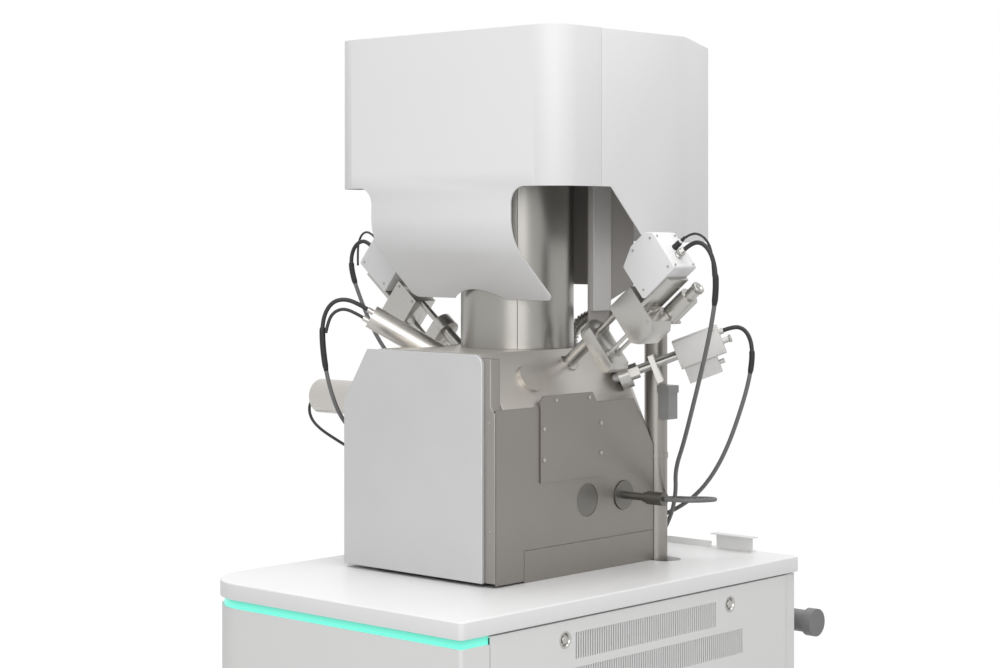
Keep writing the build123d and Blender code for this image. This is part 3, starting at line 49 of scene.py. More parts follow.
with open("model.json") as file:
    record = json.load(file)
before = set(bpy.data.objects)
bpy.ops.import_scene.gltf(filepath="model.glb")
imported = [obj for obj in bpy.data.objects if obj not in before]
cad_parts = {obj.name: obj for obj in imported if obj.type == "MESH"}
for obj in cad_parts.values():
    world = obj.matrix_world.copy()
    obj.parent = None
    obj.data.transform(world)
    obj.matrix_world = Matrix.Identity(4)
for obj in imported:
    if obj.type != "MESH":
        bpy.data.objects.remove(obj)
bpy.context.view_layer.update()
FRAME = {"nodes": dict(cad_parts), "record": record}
NODES = FRAME["nodes"]
BODY_OF = {node: body for body, nodes in FRAME["record"]["behaviour"]["bodies"].items() for node in nodes}
MM = 0.001
TABLE_LOW, TABLE_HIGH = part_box("tabletop")
TABLE_ORIGIN = Vector(((TABLE_LOW.x + TABLE_HIGH.x) / 2, (TABLE_LOW.y + TABLE_HIGH.y) / 2, TABLE_HIGH.z))

# Camera, worked out from the perspective of the table and the head in the photograph
CAMERA_PLACE = (2985.3, -3290.3, 705.2)
CAMERA_TURN = math.radians(42.42)
CAMERA_LENS = 76.39
CAMERA_SENSOR = 36
CAMERA_SHIFT_Y = -0.1045


def table_point(x, y, z):
    """A point given in millimetres from the middle of the table top, in the model's frame."""
    return TABLE_ORIGIN + Vector((x, y, z)) * MM


def linear(red, green, blue):
    """Colour values of 0 to 255, as seen, turned into linear light."""
    parts = []
    for value in (red, green, blue):
        share = value / 255
        parts.append(share / 12.92 if share <= 0.04045 else ((share + 0.055) / 1.055) ** 2.4)
    return tuple(parts)


# Sizes and colours that a user would change


class MicroscopeFinish(bpy.types.PropertyGroup):
    """Colours of the machine's finishes."""

    white_paint: FloatVectorProperty(
        name="White paint", description="Powder coat of the head and the table top", subtype="COLOR",
        default=linear(236, 236, 236), min=0, max=1,
    )
    cabinet_paint: FloatVectorProperty(
        name="Cabinet paint", description="Powder coat of the cabinet panels", subtype="COLOR",
        default=linear(232, 232, 231), min=0, max=1,
    )
    fascia_silver: FloatVectorProperty(
        name="Fascia silver", description="Satin metallic lacquer of the door", subtype="COLOR",
        default=linear(206, 206, 207), min=0, max=1,
    )
    chamber_metal: FloatVectorProperty(
        name="Chamber metal", description="Blasted metal of the chamber", subtype="COLOR",
        default=linear(202, 198, 192), min=0, max=1,
    )
    cover_metal: FloatVectorProperty(
        name="Cover metal", description="Grey sheet of the chamber's side covers", subtype="COLOR",
        default=linear(144, 140, 135), min=0, max=1,
    )
    mast_metal: FloatVectorProperty(
        name="Mast metal", description="Dark coat of the mast behind the column", subtype="COLOR",
        default=linear(172, 168, 164), min=0, max=1,
    )
    light_colour: FloatVectorProperty(
        name="Status light", description="Colour of the light strip", subtype="COLOR",
        default=linear(112, 232, 208), min=0, max=1,
    )
    cable_grey: FloatVectorProperty(
        name="Grey cable", description="Jacket of the grey cables", subtype="COLOR",
        default=linear(112, 112, 112), min=0, max=1,
    )
    cable_black: FloatVectorProperty(
        name="Black cable", description="Jacket of the black leads", subtype="COLOR",
        default=linear(44, 44, 45), min=0, max=1,
    )


class MicroscopeSizes(bpy.types.PropertyGroup):
    """Sizes of the small fittings."""

    screw_radius: FloatProperty(
        name="Screw head", description="Radius of a small cap screw's head", subtype="DISTANCE",
        default=0.0026, min=0.0005, max=0.01,
    )
    knob_ribs: IntProperty(
        name="Knob ribs", description="Ribs round an adjusting knob", default=28, min=6, max=90,
    )
    light_strength: FloatProperty(
        name="Light strength", description="Brightness of the status light", default=1.0, min=0, max=20,
    )
    cable_sides: IntProperty(
        name="Cable sides", description="Sides of a cable's round section", default=20, min=6, max=64,
    )


# Materials

# The frame has materials of the same names, so these have an ending of their own
FINISH_ENDING = "_finish"
# Sockets of the Mix node's colour mode
MIX_SHARE, MIX_FIRST, MIX_SECOND, MIX_COLOUR = 0, 6, 7, 2
# Scale of brushed lines along X, Y and Z
ALONG_X = (60, 1800, 1800)
ALONG_Y = (1800, 60, 1800)
ALONG_Z = (1800, 1800, 60)
# Height over the table top, in millimetres, below which the port fittings are darker: painted shade
PORT_SHADE_LEVEL = 300
BEVEL_SAMPLES = 6


def new_material(name, colour, roughness, metallic=0.0):
    """A material with its shader and an object-coordinate input; returns all that the makers need."""
    material = bpy.data.materials.new(name + FINISH_ENDING)
    material.use_nodes = True
    tree = material.node_tree
    shader = tree.nodes["Principled BSDF"]
    shader.inputs["Base Color"].default_value = (*colour, 1)
    shader.inputs["Roughness"].default_value = roughness
    shader.inputs["Metallic"].default_value = metallic
    coordinates = tree.nodes.new("ShaderNodeTexCoord")
    return material, tree, shader, coordinates.outputs["Object"]


def stretched(tree, source, scale):
    """Coordinates scaled by their own amount along each axis."""
    mapping = tree.nodes.new("ShaderNodeMapping")
    mapping.inputs["Scale"].default_value = scale
    tree.links.new(source, mapping.inputs["Vector"])
    return mapping.outputs["Vector"]


def noise(tree, source, scale, detail, roughness=0.55):
    """Noise of 0 to 1 over the given coordinates."""
    node = tree.nodes.new("ShaderNodeTexNoise")
    node.inputs["Scale"].default_value = scale
    node.inputs["Detail"].default_value = detail
    node.inputs["Roughness"].default_value = roughness
    tree.links.new(source, node.inputs["Vector"])
    return node.outputs["Fac"]


def ranged(tree, value, low, high):
    """A value of 0 to 1 moved to the range from low to high."""
    node = tree.nodes.new("ShaderNodeMapRange")
    node.inputs["To Min"].default_value = low
    node.inputs["To Max"].default_value = high
    tree.links.new(value, node.inputs["Value"])
    return node.outputs["Result"]


def blended_colour(tree, value, first, second):
    """The first colour where the value is 0, and the second where it is 1."""
    node = tree.nodes.new("ShaderNodeMix")
    node.data_type = "RGBA"
    node.inputs[MIX_FIRST].default_value = (*first, 1)
    node.inputs[MIX_SECOND].default_value = (*second, 1)
    tree.links.new(value, node.inputs[MIX_SHARE])
    return node.outputs[MIX_COLOUR]


def height_of(tree, place):
    """The Z part of a point."""
    node = tree.nodes.new("ShaderNodeSeparateXYZ")
    tree.links.new(place, node.inputs["Vector"])
    return node.outputs["Z"]


def bumped(tree, shader, height, distance, strength, edge):
    """Bump from a height, over edges that are broken by a small radius."""
    bevel = tree.nodes.new("ShaderNodeBevel")
    bevel.samples = BEVEL_SAMPLES
    bevel.inputs["Radius"].default_value = edge
    bump = tree.nodes.new("ShaderNodeBump")
    bump.inputs["Strength"].default_value = strength
    bump.inputs["Distance"].default_value = distance
    tree.links.new(height, bump.inputs["Height"])
    tree.links.new(bevel.outputs["Normal"], bump.inputs["Normal"])
    tree.links.new(bump.outputs["Normal"], shader.inputs["Normal"])


def shade(colour, share):
    """A colour made darker, or lighter up to white."""
    return tuple(min(1, part * share) for part in colour)


def vary(tree, shader, tone_source, colour, shares, rough_source, roughness, spread):
    """Let the colour and the roughness follow a noise, each within its own range."""
    tone = blended_colour(tree, tone_source, *(shade(colour, share) for share in shares))
    tree.links.new(tone, shader.inputs["Base Color"])
    rough = ranged(tree, rough_source, roughness + spread[0], roughness + spread[1])
    tree.links.new(rough, shader.inputs["Roughness"])


def powder_coat(name, colour, roughness=0.42, grain=900):
    """Fine orange-peel paint with a slight change of tone over a panel."""
    material, tree, shader, place = new_material(name, colour, roughness)
    broad = noise(tree, place, scale=2.2, detail=2)
    peel = noise(tree, place, scale=grain, detail=2)
    vary(tree, shader, broad, colour, (0.975, 1.02), broad, roughness, (-0.03, 0.05))
    bumped(tree, shader, peel, distance=0.00004, strength=0.5, edge=0.0014)
    shader.inputs["Specular IOR Level"].default_value = 0.45
    return material


def brushed(name, colour, roughness, grain):
    """Metal with fine lines; grain is the scale of the lines along X, Y and Z."""
    material, tree, shader, place = new_material(name, colour, roughness, metallic=0.9)
    fine = noise(tree, stretched(tree, place, grain), scale=1, detail=5, roughness=0.6)
    broad = noise(tree, place, scale=9, detail=3)
    vary(tree, shader, fine, colour, (0.88, 1.06), broad, roughness, (-0.05, 0.07))
    bumped(tree, shader, fine, distance=0.00003, strength=0.35, edge=0.0006)
    return material


def blasted(name, colour, roughness, metallic, grain=1400, edge=0.0012):
    """Bead-blasted or satin metal with a fine even grain and faint clouds."""
    material, tree, shader, place = new_material(name, colour, roughness, metallic)
    fine = noise(tree, place, scale=grain, detail=3)
    cloud = noise(tree, place, scale=5, detail=4)
    vary(tree, shader, cloud, colour, (0.93, 1.04), fine, roughness, (-0.02, 0.03))
    bumped(tree, shader, fine, distance=0.00002, strength=0.15, edge=edge)
    return material


def moulded(name, colour, roughness):
    """Plastic or rubber with a fine moulded grain."""
    material, tree, shader, place = new_material(name, colour, roughness)
    fine = noise(tree, place, scale=1600, detail=3)
    cloud = noise(tree, place, scale=30, detail=3)
    vary(tree, shader, cloud, colour, (0.85, 1.15), cloud, roughness, (-0.05, 0.08))
    bumped(tree, shader, fine, distance=0.00005, strength=0.6, edge=0.0004)
    return material


def two_tone(name, upper, lower, level, roughness=0.48, metallic=0.0):
    """A coat that changes colour at one height, such as a cable's inside its sleeve, or the painted shade on
    the port fittings below a level.
    """
    material, tree, shader, place = new_material(name, lower, roughness, metallic)
    above = tree.nodes.new("ShaderNodeMath")
    above.operation = "GREATER_THAN"
    above.inputs[1].default_value = level
    tree.links.new(height_of(tree, place), above.inputs[0])
    tree.links.new(blended_colour(tree, above.outputs["Value"], lower, upper), shader.inputs["Base Color"])
    fine = noise(tree, place, scale=1200, detail=3)
    tree.links.new(ranged(tree, fine, roughness - 0.06, roughness + 0.08), shader.inputs["Roughness"])
    bumped(tree, shader, fine, distance=0.00005, strength=0.5, edge=0.0002)
    return material


def glowing(name, colour, strength):
    """Frosted light strip, a little brighter at its foot than at its top."""
    material, tree, shader, place = new_material(name, shade(colour, 0.25), roughness=0.35)
    low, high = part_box("status_light")
    share = tree.nodes.new("ShaderNodeMapRange")
    share.inputs["From Min"].default_value = low.z
    share.inputs["From Max"].default_value = high.z
    tree.links.new(height_of(tree, place), share.inputs["Value"])
    tone = blended_colour(tree, share.outputs["Result"], shade(colour, 1.12), shade(colour, 0.62))
    tree.links.new(tone, shader.inputs["Emission Color"])
    shader.inputs["Emission Strength"].default_value = strength
    return material


def finish_recipes():
    """For each finish its maker, its colour and what else the maker takes."""
    colours = bpy.context.scene.microscope_finish
    glow = bpy.context.scene.microscope_sizes.light_strength
    steel = linear(200, 197, 192)
    # The port fittings' lower colour is painted shade: the same steel, darker below a level
    port_shaded, port_shade_level = linear(118, 116, 112), table_point(0, 0, PORT_SHADE_LEVEL).z
    return {
        "white_paint": (powder_coat, colours.white_paint, {}),
        "cabinet_paint": (powder_coat, colours.cabinet_paint, {"roughness": 0.45}),
        "tabletop_paint": (powder_coat, linear(240, 240, 240), {"roughness": 0.36}),
        "frame_paint": (powder_coat, linear(78, 80, 84), {"roughness": 0.5}),
        "mast_metal": (powder_coat, colours.mast_metal, {"roughness": 0.5, "grain": 1100}),
        "housing_white": (powder_coat, linear(238, 238, 238), {"roughness": 0.35, "grain": 1100}),
        "fascia_silver": (
            blasted, colours.fascia_silver,
            {"roughness": 0.4, "metallic": 0.5, "grain": 2200, "edge": 0.0016},
        ),
        "chamber_metal": (blasted, colours.chamber_metal, {"roughness": 0.36, "metallic": 0.8}),
        "cover_metal": (
            blasted, colours.cover_metal,
            {"roughness": 0.42, "metallic": 0.95, "grain": 1600, "edge": 0.0008},
        ),
        "door_metal": (blasted, linear(154, 151, 147), {"roughness": 0.42, "metallic": 0.9}),
        "column_metal": (blasted, linear(158, 156, 151), {"roughness": 0.3, "metallic": 0.9}),
        "turned_steel": (
            blasted, linear(182, 180, 176),
            {"roughness": 0.27, "metallic": 0.92, "grain": 2600, "edge": 0.0006},
        ),
        "dark_steel": (blasted, linear(104, 103, 101), {"roughness": 0.4, "metallic": 0.7}),
        "housing_grey": (blasted, linear(204, 203, 201), {"roughness": 0.46, "metallic": 0.25}),
        "steel_x": (brushed, steel, {"roughness": 0.3, "grain": ALONG_X}),
        "steel_y": (brushed, steel, {"roughness": 0.3, "grain": ALONG_Y}),
        "steel_z": (brushed, steel, {"roughness": 0.3, "grain": ALONG_Z}),
        "pipe_steel": (brushed, linear(152, 149, 144), {"roughness": 0.33, "grain": ALONG_Z}),
        # Port steel with painted shade: darker below a level over the table top
        "port_steel": (
            two_tone, linear(196, 192, 186),
            {"lower": port_shaded, "level": port_shade_level, "roughness": 0.34, "metallic": 0.9},
        ),
        "bumper_grey": (moulded, linear(122, 122, 123), {"roughness": 0.45}),
        "grey_plastic": (moulded, linear(150, 150, 150), {"roughness": 0.45}),
        "black_rubber": (moulded, linear(38, 38, 39), {"roughness": 0.6}),
        "cable_black": (moulded, colours.cable_black, {"roughness": 0.42}),
        "cable_grey": (moulded, colours.cable_grey, {"roughness": 0.48}),
        "light_strip": (glowing, colours.light_colour, {"strength": glow}),
    }


def finish(name):
    """The material of that name, made when it is first asked for."""
    made = bpy.data.materials.get(name + FINISH_ENDING)
    if made is None:
        maker, colour, settings = finish_recipes()[name]
        made = maker(name, tuple(colour), **settings)
    return made


NODE_FINISH = {
    "levelling_feet": "dark_steel",
    "base_frame": "frame_paint",
    "tabletop": "tabletop_paint",
    "front_panel": "cabinet_paint",
    "side_panels": "cabinet_paint",
    "rear_panel": "cabinet_paint",
    "status_light": "light_strip",
    "panel_fasteners": "turned_steel",
    "rear_bumper": "bumper_grey",
    "rear_trim": "cabinet_paint",
    "float_plate": "dark_steel",
    "air_springs": "black_rubber",
    "backing_pump": "frame_paint",
    "chamber_body": "chamber_metal",
    "side_cover_right": "cover_metal",
    "side_cover_left": "cover_metal",
    "access_plate": "cover_metal",
    "cover_screws": "turned_steel",
    # The port fittings carry painted shade below a level
    "port_fittings": "port_steel",
    "objective_lens": "turned_steel",
    "electron_column": "turned_steel",
    "column_cover_front": "column_metal",
    "column_cover_rear": "column_metal",
    "mast": "mast_metal",
    "cable_duct": "housing_grey",
    "head_front_cover": "white_paint",
    "head_rear_cover": "white_paint",
    "vacuum_pipe": "pipe_steel",
    "vacuum_hose": "turned_steel",
    "valve_box": "grey_plastic",
    "turbo_pump": "turned_steel",
    "side_camera": "steel_x",
    "angled_detector": "steel_z",
    "detector_holders": "turned_steel",
    "slant_holder": "turned_steel",
    "door_plate": "door_metal",
    "door_fascia": "fascia_silver",
    "door_seal": "black_rubber",
    "door_rods": "steel_y",
    "stage_bracket": "turned_steel",
    "stage_cradle": "turned_steel",
    "stage_lift": "turned_steel",
    "stage_long_slide": "dark_steel",
    "stage_cross_slide": "turned_steel",
    "rotary_table": "turned_steel",
    "carriage_right": "turned_steel",
    "housing_right": "housing_white",
    "carriage_left": "turned_steel",
    "housing_left": "housing_white",
    "slant_detector": "housing_grey",
}


# Mesh making

MERGE_DISTANCE = 1e-6
POINT_RADIUS = 1e-7


def add_piece(name, mesh, body, material, smooth=True):
    """Put a finished mesh in the scene as a piece, which rides on a body where one is given."""
    piece = bpy.data.objects.new(name, mesh)
    bpy.context.scene.collection.objects.link(piece)
    mesh.materials.clear()
    mesh.materials.append(material)
    if smooth:
        mesh.shade_smooth()
    if body is not None:
        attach(piece, body)
    return piece


def mesh_from(build, name):
    """A mesh whose faces a function adds to an empty bmesh."""
    shape = bmesh.new()
    build(shape)
    bmesh.ops.remove_doubles(shape, verts=shape.verts, dist=MERGE_DISTANCE)
    bmesh.ops.recalc_face_normals(shape, faces=shape.faces)
    mesh = bpy.data.meshes.new(name)
    shape.to_mesh(mesh)
    shape.free()
    return mesh


def square_to(axis):
    """Two directions at right angles to an axis, and to each other."""
    axis = axis.normalized()
    side = axis.orthogonal().normalized()
    return side, axis.cross(side)


def turned_ring(shape, centre, side, other, radius, sides):
    """Corners round a centre, or one point where the radius is nothing."""
    if radius < POINT_RADIUS:
        return [shape.verts.new(centre)]
    ring = []
    for index in range(sides):
        angle = math.tau * index / sides
        out = side * radius * math.cos(angle) + other * radius * math.sin(angle)
        ring.append(shape.verts.new(centre + out))
    return ring


def join_rings(shape, first, second):
    """Faces between two rings, or between a ring and a point."""
    count = max(len(first), len(second))
    for index in range(count):
        after = (index + 1) % count
        if len(first) == 1:
            shape.faces.new((first[0], second[after], second[index]))
        elif len(second) == 1:
            shape.faces.new((first[index], first[after], second[0]))
        else:
            shape.faces.new((first[index], first[after], second[after], second[index]))


def join_all(shape, rings):
    """Faces between each ring and the next."""
    for first, second in zip(rings, rings[1:]):
        join_rings(shape, first, second)


def turned_shape(shape, origin, axis, profile, sides):
    """Turned form: profile is (distance along the axis, radius), from end to end."""
    axis = axis.normalized()
    side, other = square_to(axis)
    rings = []
    for along, radius in profile:
        rings.append(turned_ring(shape, origin + axis * along, side, other, radius, sides))
    join_all(shape, rings)


def tube_rings(shape, points, radii, sides):
    """Round tube through points that lie close together, with closed ends."""
    side, _ = square_to(points[1] - points[0])
    rings = []
    for index, point in enumerate(points):
        before = points[max(index - 1, 0)]
        after = points[min(index + 1, len(points) - 1)]
        along = (after - before).normalized()
        side = (side - along * side.dot(along)).normalized()
        rings.append(turned_ring(shape, point, side, along.cross(side), radii[index], sides))
    join_all(shape, rings)
    shape.faces.new(rings[0])
    shape.faces.new(rings[-1])


def evaluated_mesh(piece):
    """The mesh that an object's modifiers make, as a mesh of its own."""
    depsgraph = bpy.context.evaluated_depsgraph_get()
    depsgraph.update()
    return bpy.data.meshes.new_from_object(piece.evaluated_get(depsgraph), depsgraph=depsgraph)


def turned_piece(name, origin, axis, profile, body, material, sides=32):
    """A turned fitting with its slot; its profile is in millimetres."""
    metres = [(along * MM, radius * MM) for along, radius in profile]
    mesh = mesh_from(lambda shape: turned_shape(shape, origin, axis, metres, sides), name)
    piece = add_piece(name, mesh, body, material)


# Geometry Nodes


def started_tree(name, inputs):
    """A new tree with its named inputs and its output; returns them too."""
    tree = bpy.data.node_groups.new(name, "GeometryNodeTree")
    for socket, kind in inputs.items():
        tree.interface.new_socket(socket, in_out="INPUT", socket_type="NodeSocket" + kind)
    tree.interface.new_socket("Geometry", in_out="OUTPUT", socket_type="NodeSocketGeometry")
    return tree, tree.nodes.new("NodeGroupInput"), tree.nodes.new("NodeGroupOutput")


def turn_to(tree, axis, direction):
    """A rotation that turns one axis of a fitting to a direction."""
    turn = tree.nodes.new("FunctionNodeAlignRotationToVector")
    turn.axis = axis
    tree.links.new(direction, turn.inputs["Vector"])
    return turn


def end_with_copies(tree, given, result, points, turn):
    """A copy of the fitting on each point, made into a plain mesh with its finish."""
    fitting = tree.nodes.new("GeometryNodeObjectInfo")
    copies = tree.nodes.new("GeometryNodeInstanceOnPoints")
    solid = tree.nodes.new("GeometryNodeRealizeInstances")
    coat = tree.nodes.new("GeometryNodeSetMaterial")
    links = tree.links
    links.new(given.outputs["Fitting"], fitting.inputs["Object"])
    links.new(points, copies.inputs["Points"])
    links.new(fitting.outputs["Geometry"], copies.inputs["Instance"])
    links.new(turn.outputs["Rotation"], copies.inputs["Rotation"])
    links.new(given.outputs["Size"], copies.inputs["Scale"])
    links.new(copies.outputs["Instances"], solid.inputs["Geometry"])
    links.new(solid.outputs["Geometry"], coat.inputs["Geometry"])
    links.new(given.outputs["Finish"], coat.inputs["Material"])
    links.new(coat.outputs["Geometry"], result.inputs["Geometry"])


def scatter_tree():
    """Copies of one fitting, one on each point, turned to face along the point's attribute."""
    name = "fittings on points"
    inputs = {"Geometry": "Geometry", "Fitting": "Object", "Size": "Float", "Finish": "Material"}
    if name in bpy.data.node_groups:
        return bpy.data.node_groups[name]
    tree, given, result = started_tree(name, inputs)
    facing = tree.nodes.new("GeometryNodeInputNamedAttribute")
    facing.data_type = "FLOAT_VECTOR"
    facing.inputs["Name"].default_value = "facing"
    turn = turn_to(tree, "Z", facing.outputs["Attribute"])
    end_with_copies(tree, given, result, given.outputs["Geometry"], turn)
    return tree


def rim_tree():
    """Copies of one rib round a rim in the XY plane, each with its X axis outwards."""
    name = "ribs round a rim"
    inputs = {"Ribs": "Int", "Rim": "Float", "Fitting": "Object", "Size": "Float", "Finish": "Material"}
    if name in bpy.data.node_groups:
        return bpy.data.node_groups[name]
    tree, given, result = started_tree(name, inputs)
    rim = tree.nodes.new("GeometryNodeMeshCircle")
    place = tree.nodes.new("GeometryNodeInputPosition")
    tree.links.new(given.outputs["Ribs"], rim.inputs["Vertices"])
    tree.links.new(given.outputs["Rim"], rim.inputs["Radius"])
    turn = turn_to(tree, "X", place.outputs["Position"])
    turn.pivot_axis = "Z"
    end_with_copies(tree, given, result, rim.outputs["Mesh"], turn)
    return tree


def set_input(modifier, tree, name, value):
    """Set a modifier's input by the identifier of the tree's socket of that name."""
    for item in tree.interface.items_tree:
        if item.item_type == "SOCKET" and item.in_out == "INPUT" and item.name == name:
            modifier[item.identifier] = value
            return
    raise RuntimeError(f"the tree {tree.name} has no input {name}")


def grown_mesh(name, carrier_mesh, tree, template, settings):
    """The plain mesh that a tree makes of copies of a template."""
    carrier = bpy.data.objects.new(name + "_points", carrier_mesh)
    fitting = bpy.data.objects.new(name + "_fitting", template)
    for item in (carrier, fitting):
        bpy.context.scene.collection.objects.link(item)
    modifier = carrier.modifiers.new("fittings", "NODES")
    modifier.node_group = tree
    for socket, value in {"Fitting": fitting, **settings}.items():
        set_input(modifier, tree, socket, value)
    mesh = evaluated_mesh(carrier)
    mesh.name = name
    for item in (carrier, fitting):
        bpy.data.objects.remove(item)
    return mesh


def scatter(name, template, places, size, material, body):
    """One piece made of copies of a template mesh at (point, facing) places."""
    points = bpy.data.meshes.new(name + "_points")
    points.from_pydata([tuple(point) for point, _ in places], [], [])
    facing = points.attributes.new("facing", "FLOAT_VECTOR", "POINT")
    for index, (_, direction) in enumerate(places):
        facing.data[index].vector = direction.normalized()
    mesh = grown_mesh(name, points, scatter_tree(), template, {"Size": size, "Finish": material})
    return add_piece(name, mesh, body, material, smooth=False)


# Rounded edges, in metres; LIGHT_END is in millimetres from the middle of the table top

EDGE_ROUNDING = {
    "door_fascia": 0.002,
    "door_plate": 0.0015,
    "tabletop": 0.001,
    "housing_right": 0.005,
    "housing_left": 0.005,
    "slant_detector": 0.0012,
    "carriage_right": 0.001,
    "carriage_left": 0.001,
    "detector_holders": 0.001,
    "head_front_cover": 0.0009,
    "head_rear_cover": 0.0009,
    "status_light": 0.0008,
}
ROUNDING_SEGMENTS = 3
FLAT_ANGLE = math.radians(0.5)
ROUNDED_FROM_ANGLE = math.radians(38)
SHARP_FROM_ANGLE = math.radians(32)
FLAP_TIP_RADIUS = 0.017
FLAP_TIP_SEGMENTS = 7
FLAP_FOOT_HEIGHT = 0.008
# An edge across the flap's sheet is shorter than the first, and leans less than the second
FLAP_EDGE_LENGTH = 0.006
FLAP_EDGE_LEAN = 0.001
LIGHT_END = -450.5
LIGHT_END_DEPTH = 0.0005


def crosses_sheet(edge):
    """Whether an edge goes through the flap's sheet at a tip."""
    lean = abs(edge.verts[0].co.x - edge.verts[1].co.x)
    return edge.calc_length() < FLAP_EDGE_LENGTH and lean < FLAP_EDGE_LEAN


def round_flap_tips(shape):
    """Round the two lower tips of the head's front flap."""
    low = min(vertex.co.z for vertex in shape.verts)
    foot = [vertex for vertex in shape.verts if vertex.co.z < low + FLAP_FOOT_HEIGHT]
    tips = []
    for pick in (max, min):
        corner = pick(foot, key=lambda vertex: vertex.co.x)
        tips += [edge for edge in corner.link_edges if crosses_sheet(edge)][:1]
    bmesh.ops.bevel(
        shape, geom=tips, offset=FLAP_TIP_RADIUS, offset_type="OFFSET", segments=FLAP_TIP_SEGMENTS,
        profile=0.5, affect="EDGES", clamp_overlap=True,
    )


def lengthen_light(shape):
    """Take the light strip's right return up to the side panel."""
    end = table_point(0, LIGHT_END, 0).y
    right = [vertex for vertex in shape.verts if vertex.co.x > TABLE_ORIGIN.x]
    last = max(vertex.co.y for vertex in right)
    for vertex in right:
        if vertex.co.y > last - LIGHT_END_DEPTH:
            vertex.co.y = end


EDGE_CHANGES = {"head_front_cover": round_flap_tips, "status_light": lengthen_light}


def merged_copy(name, adjust):
    """The model's own piece as one joined mesh of flat faces, with any change made to it."""
    node = NODES[name]
    shape = bmesh.new()
    shape.from_mesh(node.data)
    shape.transform(node.matrix_world)
    bmesh.ops.remove_doubles(shape, verts=shape.verts, dist=MERGE_DISTANCE)
    bmesh.ops.dissolve_limit(
        shape, angle_limit=FLAT_ANGLE, verts=shape.verts, edges=shape.edges, use_dissolve_boundaries=False
    )
    if adjust is not None:
        adjust(shape)
    mesh = bpy.data.meshes.new(name + "_plain")
    shape.to_mesh(mesh)
    shape.free()
    return mesh


def softened(name, width):
    """The model's own piece with its sharp edges rounded."""
    carrier = bpy.data.objects.new(name + "_plain", merged_copy(name, EDGE_CHANGES.get(name)))
    bpy.context.scene.collection.objects.link(carrier)
    rounding = carrier.modifiers.new("rounding", "BEVEL")
    rounding.width = width
    rounding.segments = ROUNDING_SEGMENTS
    rounding.limit_method = "ANGLE"
    rounding.angle_limit = ROUNDED_FROM_ANGLE
    rounding.use_clamp_overlap = True
    rounded = evaluated_mesh(carrier)
    rounded.name = name + "_soft"
    bpy.data.objects.remove(carrier)
    piece = add_piece(name + "_soft", rounded, BODY_OF[name], finish(NODE_FINISH[name]))
    rounded.set_sharp_from_angle(angle=SHARP_FROM_ANGLE)
    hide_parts(name)


# Frames of the detectors, as the model has them, in millimetres from the middle of the table top

COLUMN_X, COLUMN_Y = -30, 64
RETRACT_ANGLE = math.radians(39)
PORT_FROM_AXIS = 144.5
PORT_LEVEL = 430.7
SLANT_AZIMUTH = math.radians(36.2)
SLANT_ANGLE = math.radians(21)
SLANT_PORT = (154, 199, 398)


class Placing:
    """A local frame in millimetres: along the detector, across it, and its top side."""

    def __init__(self, origin, out, across, top):
        self.origin = table_point(*origin)
        self.out = out.normalized()
        self.across = across.normalized()
        self.top = top.normalized()

    def point(self, along, across, up):
        """A point of the local frame, in the model's frame."""
        return self.origin + (self.out * along + self.across * across + self.top * up) * MM


def retract_placing(side):
    """Frame of a retractable detector: side is 1 on the right and -1 on the left."""
    out = Vector((side * math.cos(RETRACT_ANGLE), 0, math.sin(RETRACT_ANGLE)))
    top = Vector((-side * math.sin(RETRACT_ANGLE), 0, math.cos(RETRACT_ANGLE)))
    return Placing((COLUMN_X + side * PORT_FROM_AXIS, COLUMN_Y, PORT_LEVEL), out, Vector((0, 1, 0)), top)


def slant_placing():
    """Frame of the slanting detector on the chamber's rear corner."""
    flat = math.cos(SLANT_ANGLE)
    out = Vector((flat * math.cos(SLANT_AZIMUTH), flat * math.sin(SLANT_AZIMUTH), math.sin(SLANT_ANGLE)))
    across = Vector((0, 0, 1)).cross(out).normalized()
    return Placing(SLANT_PORT, out, across, out.cross(across))


RIGHT, LEFT, SLANT = retract_placing(1), retract_placing(-1), slant_placing()


# Cables. The routes are the model's own, in millimetres from the middle of the table top. A jacket is its
# upper finish, its lower finish and the level where they meet.

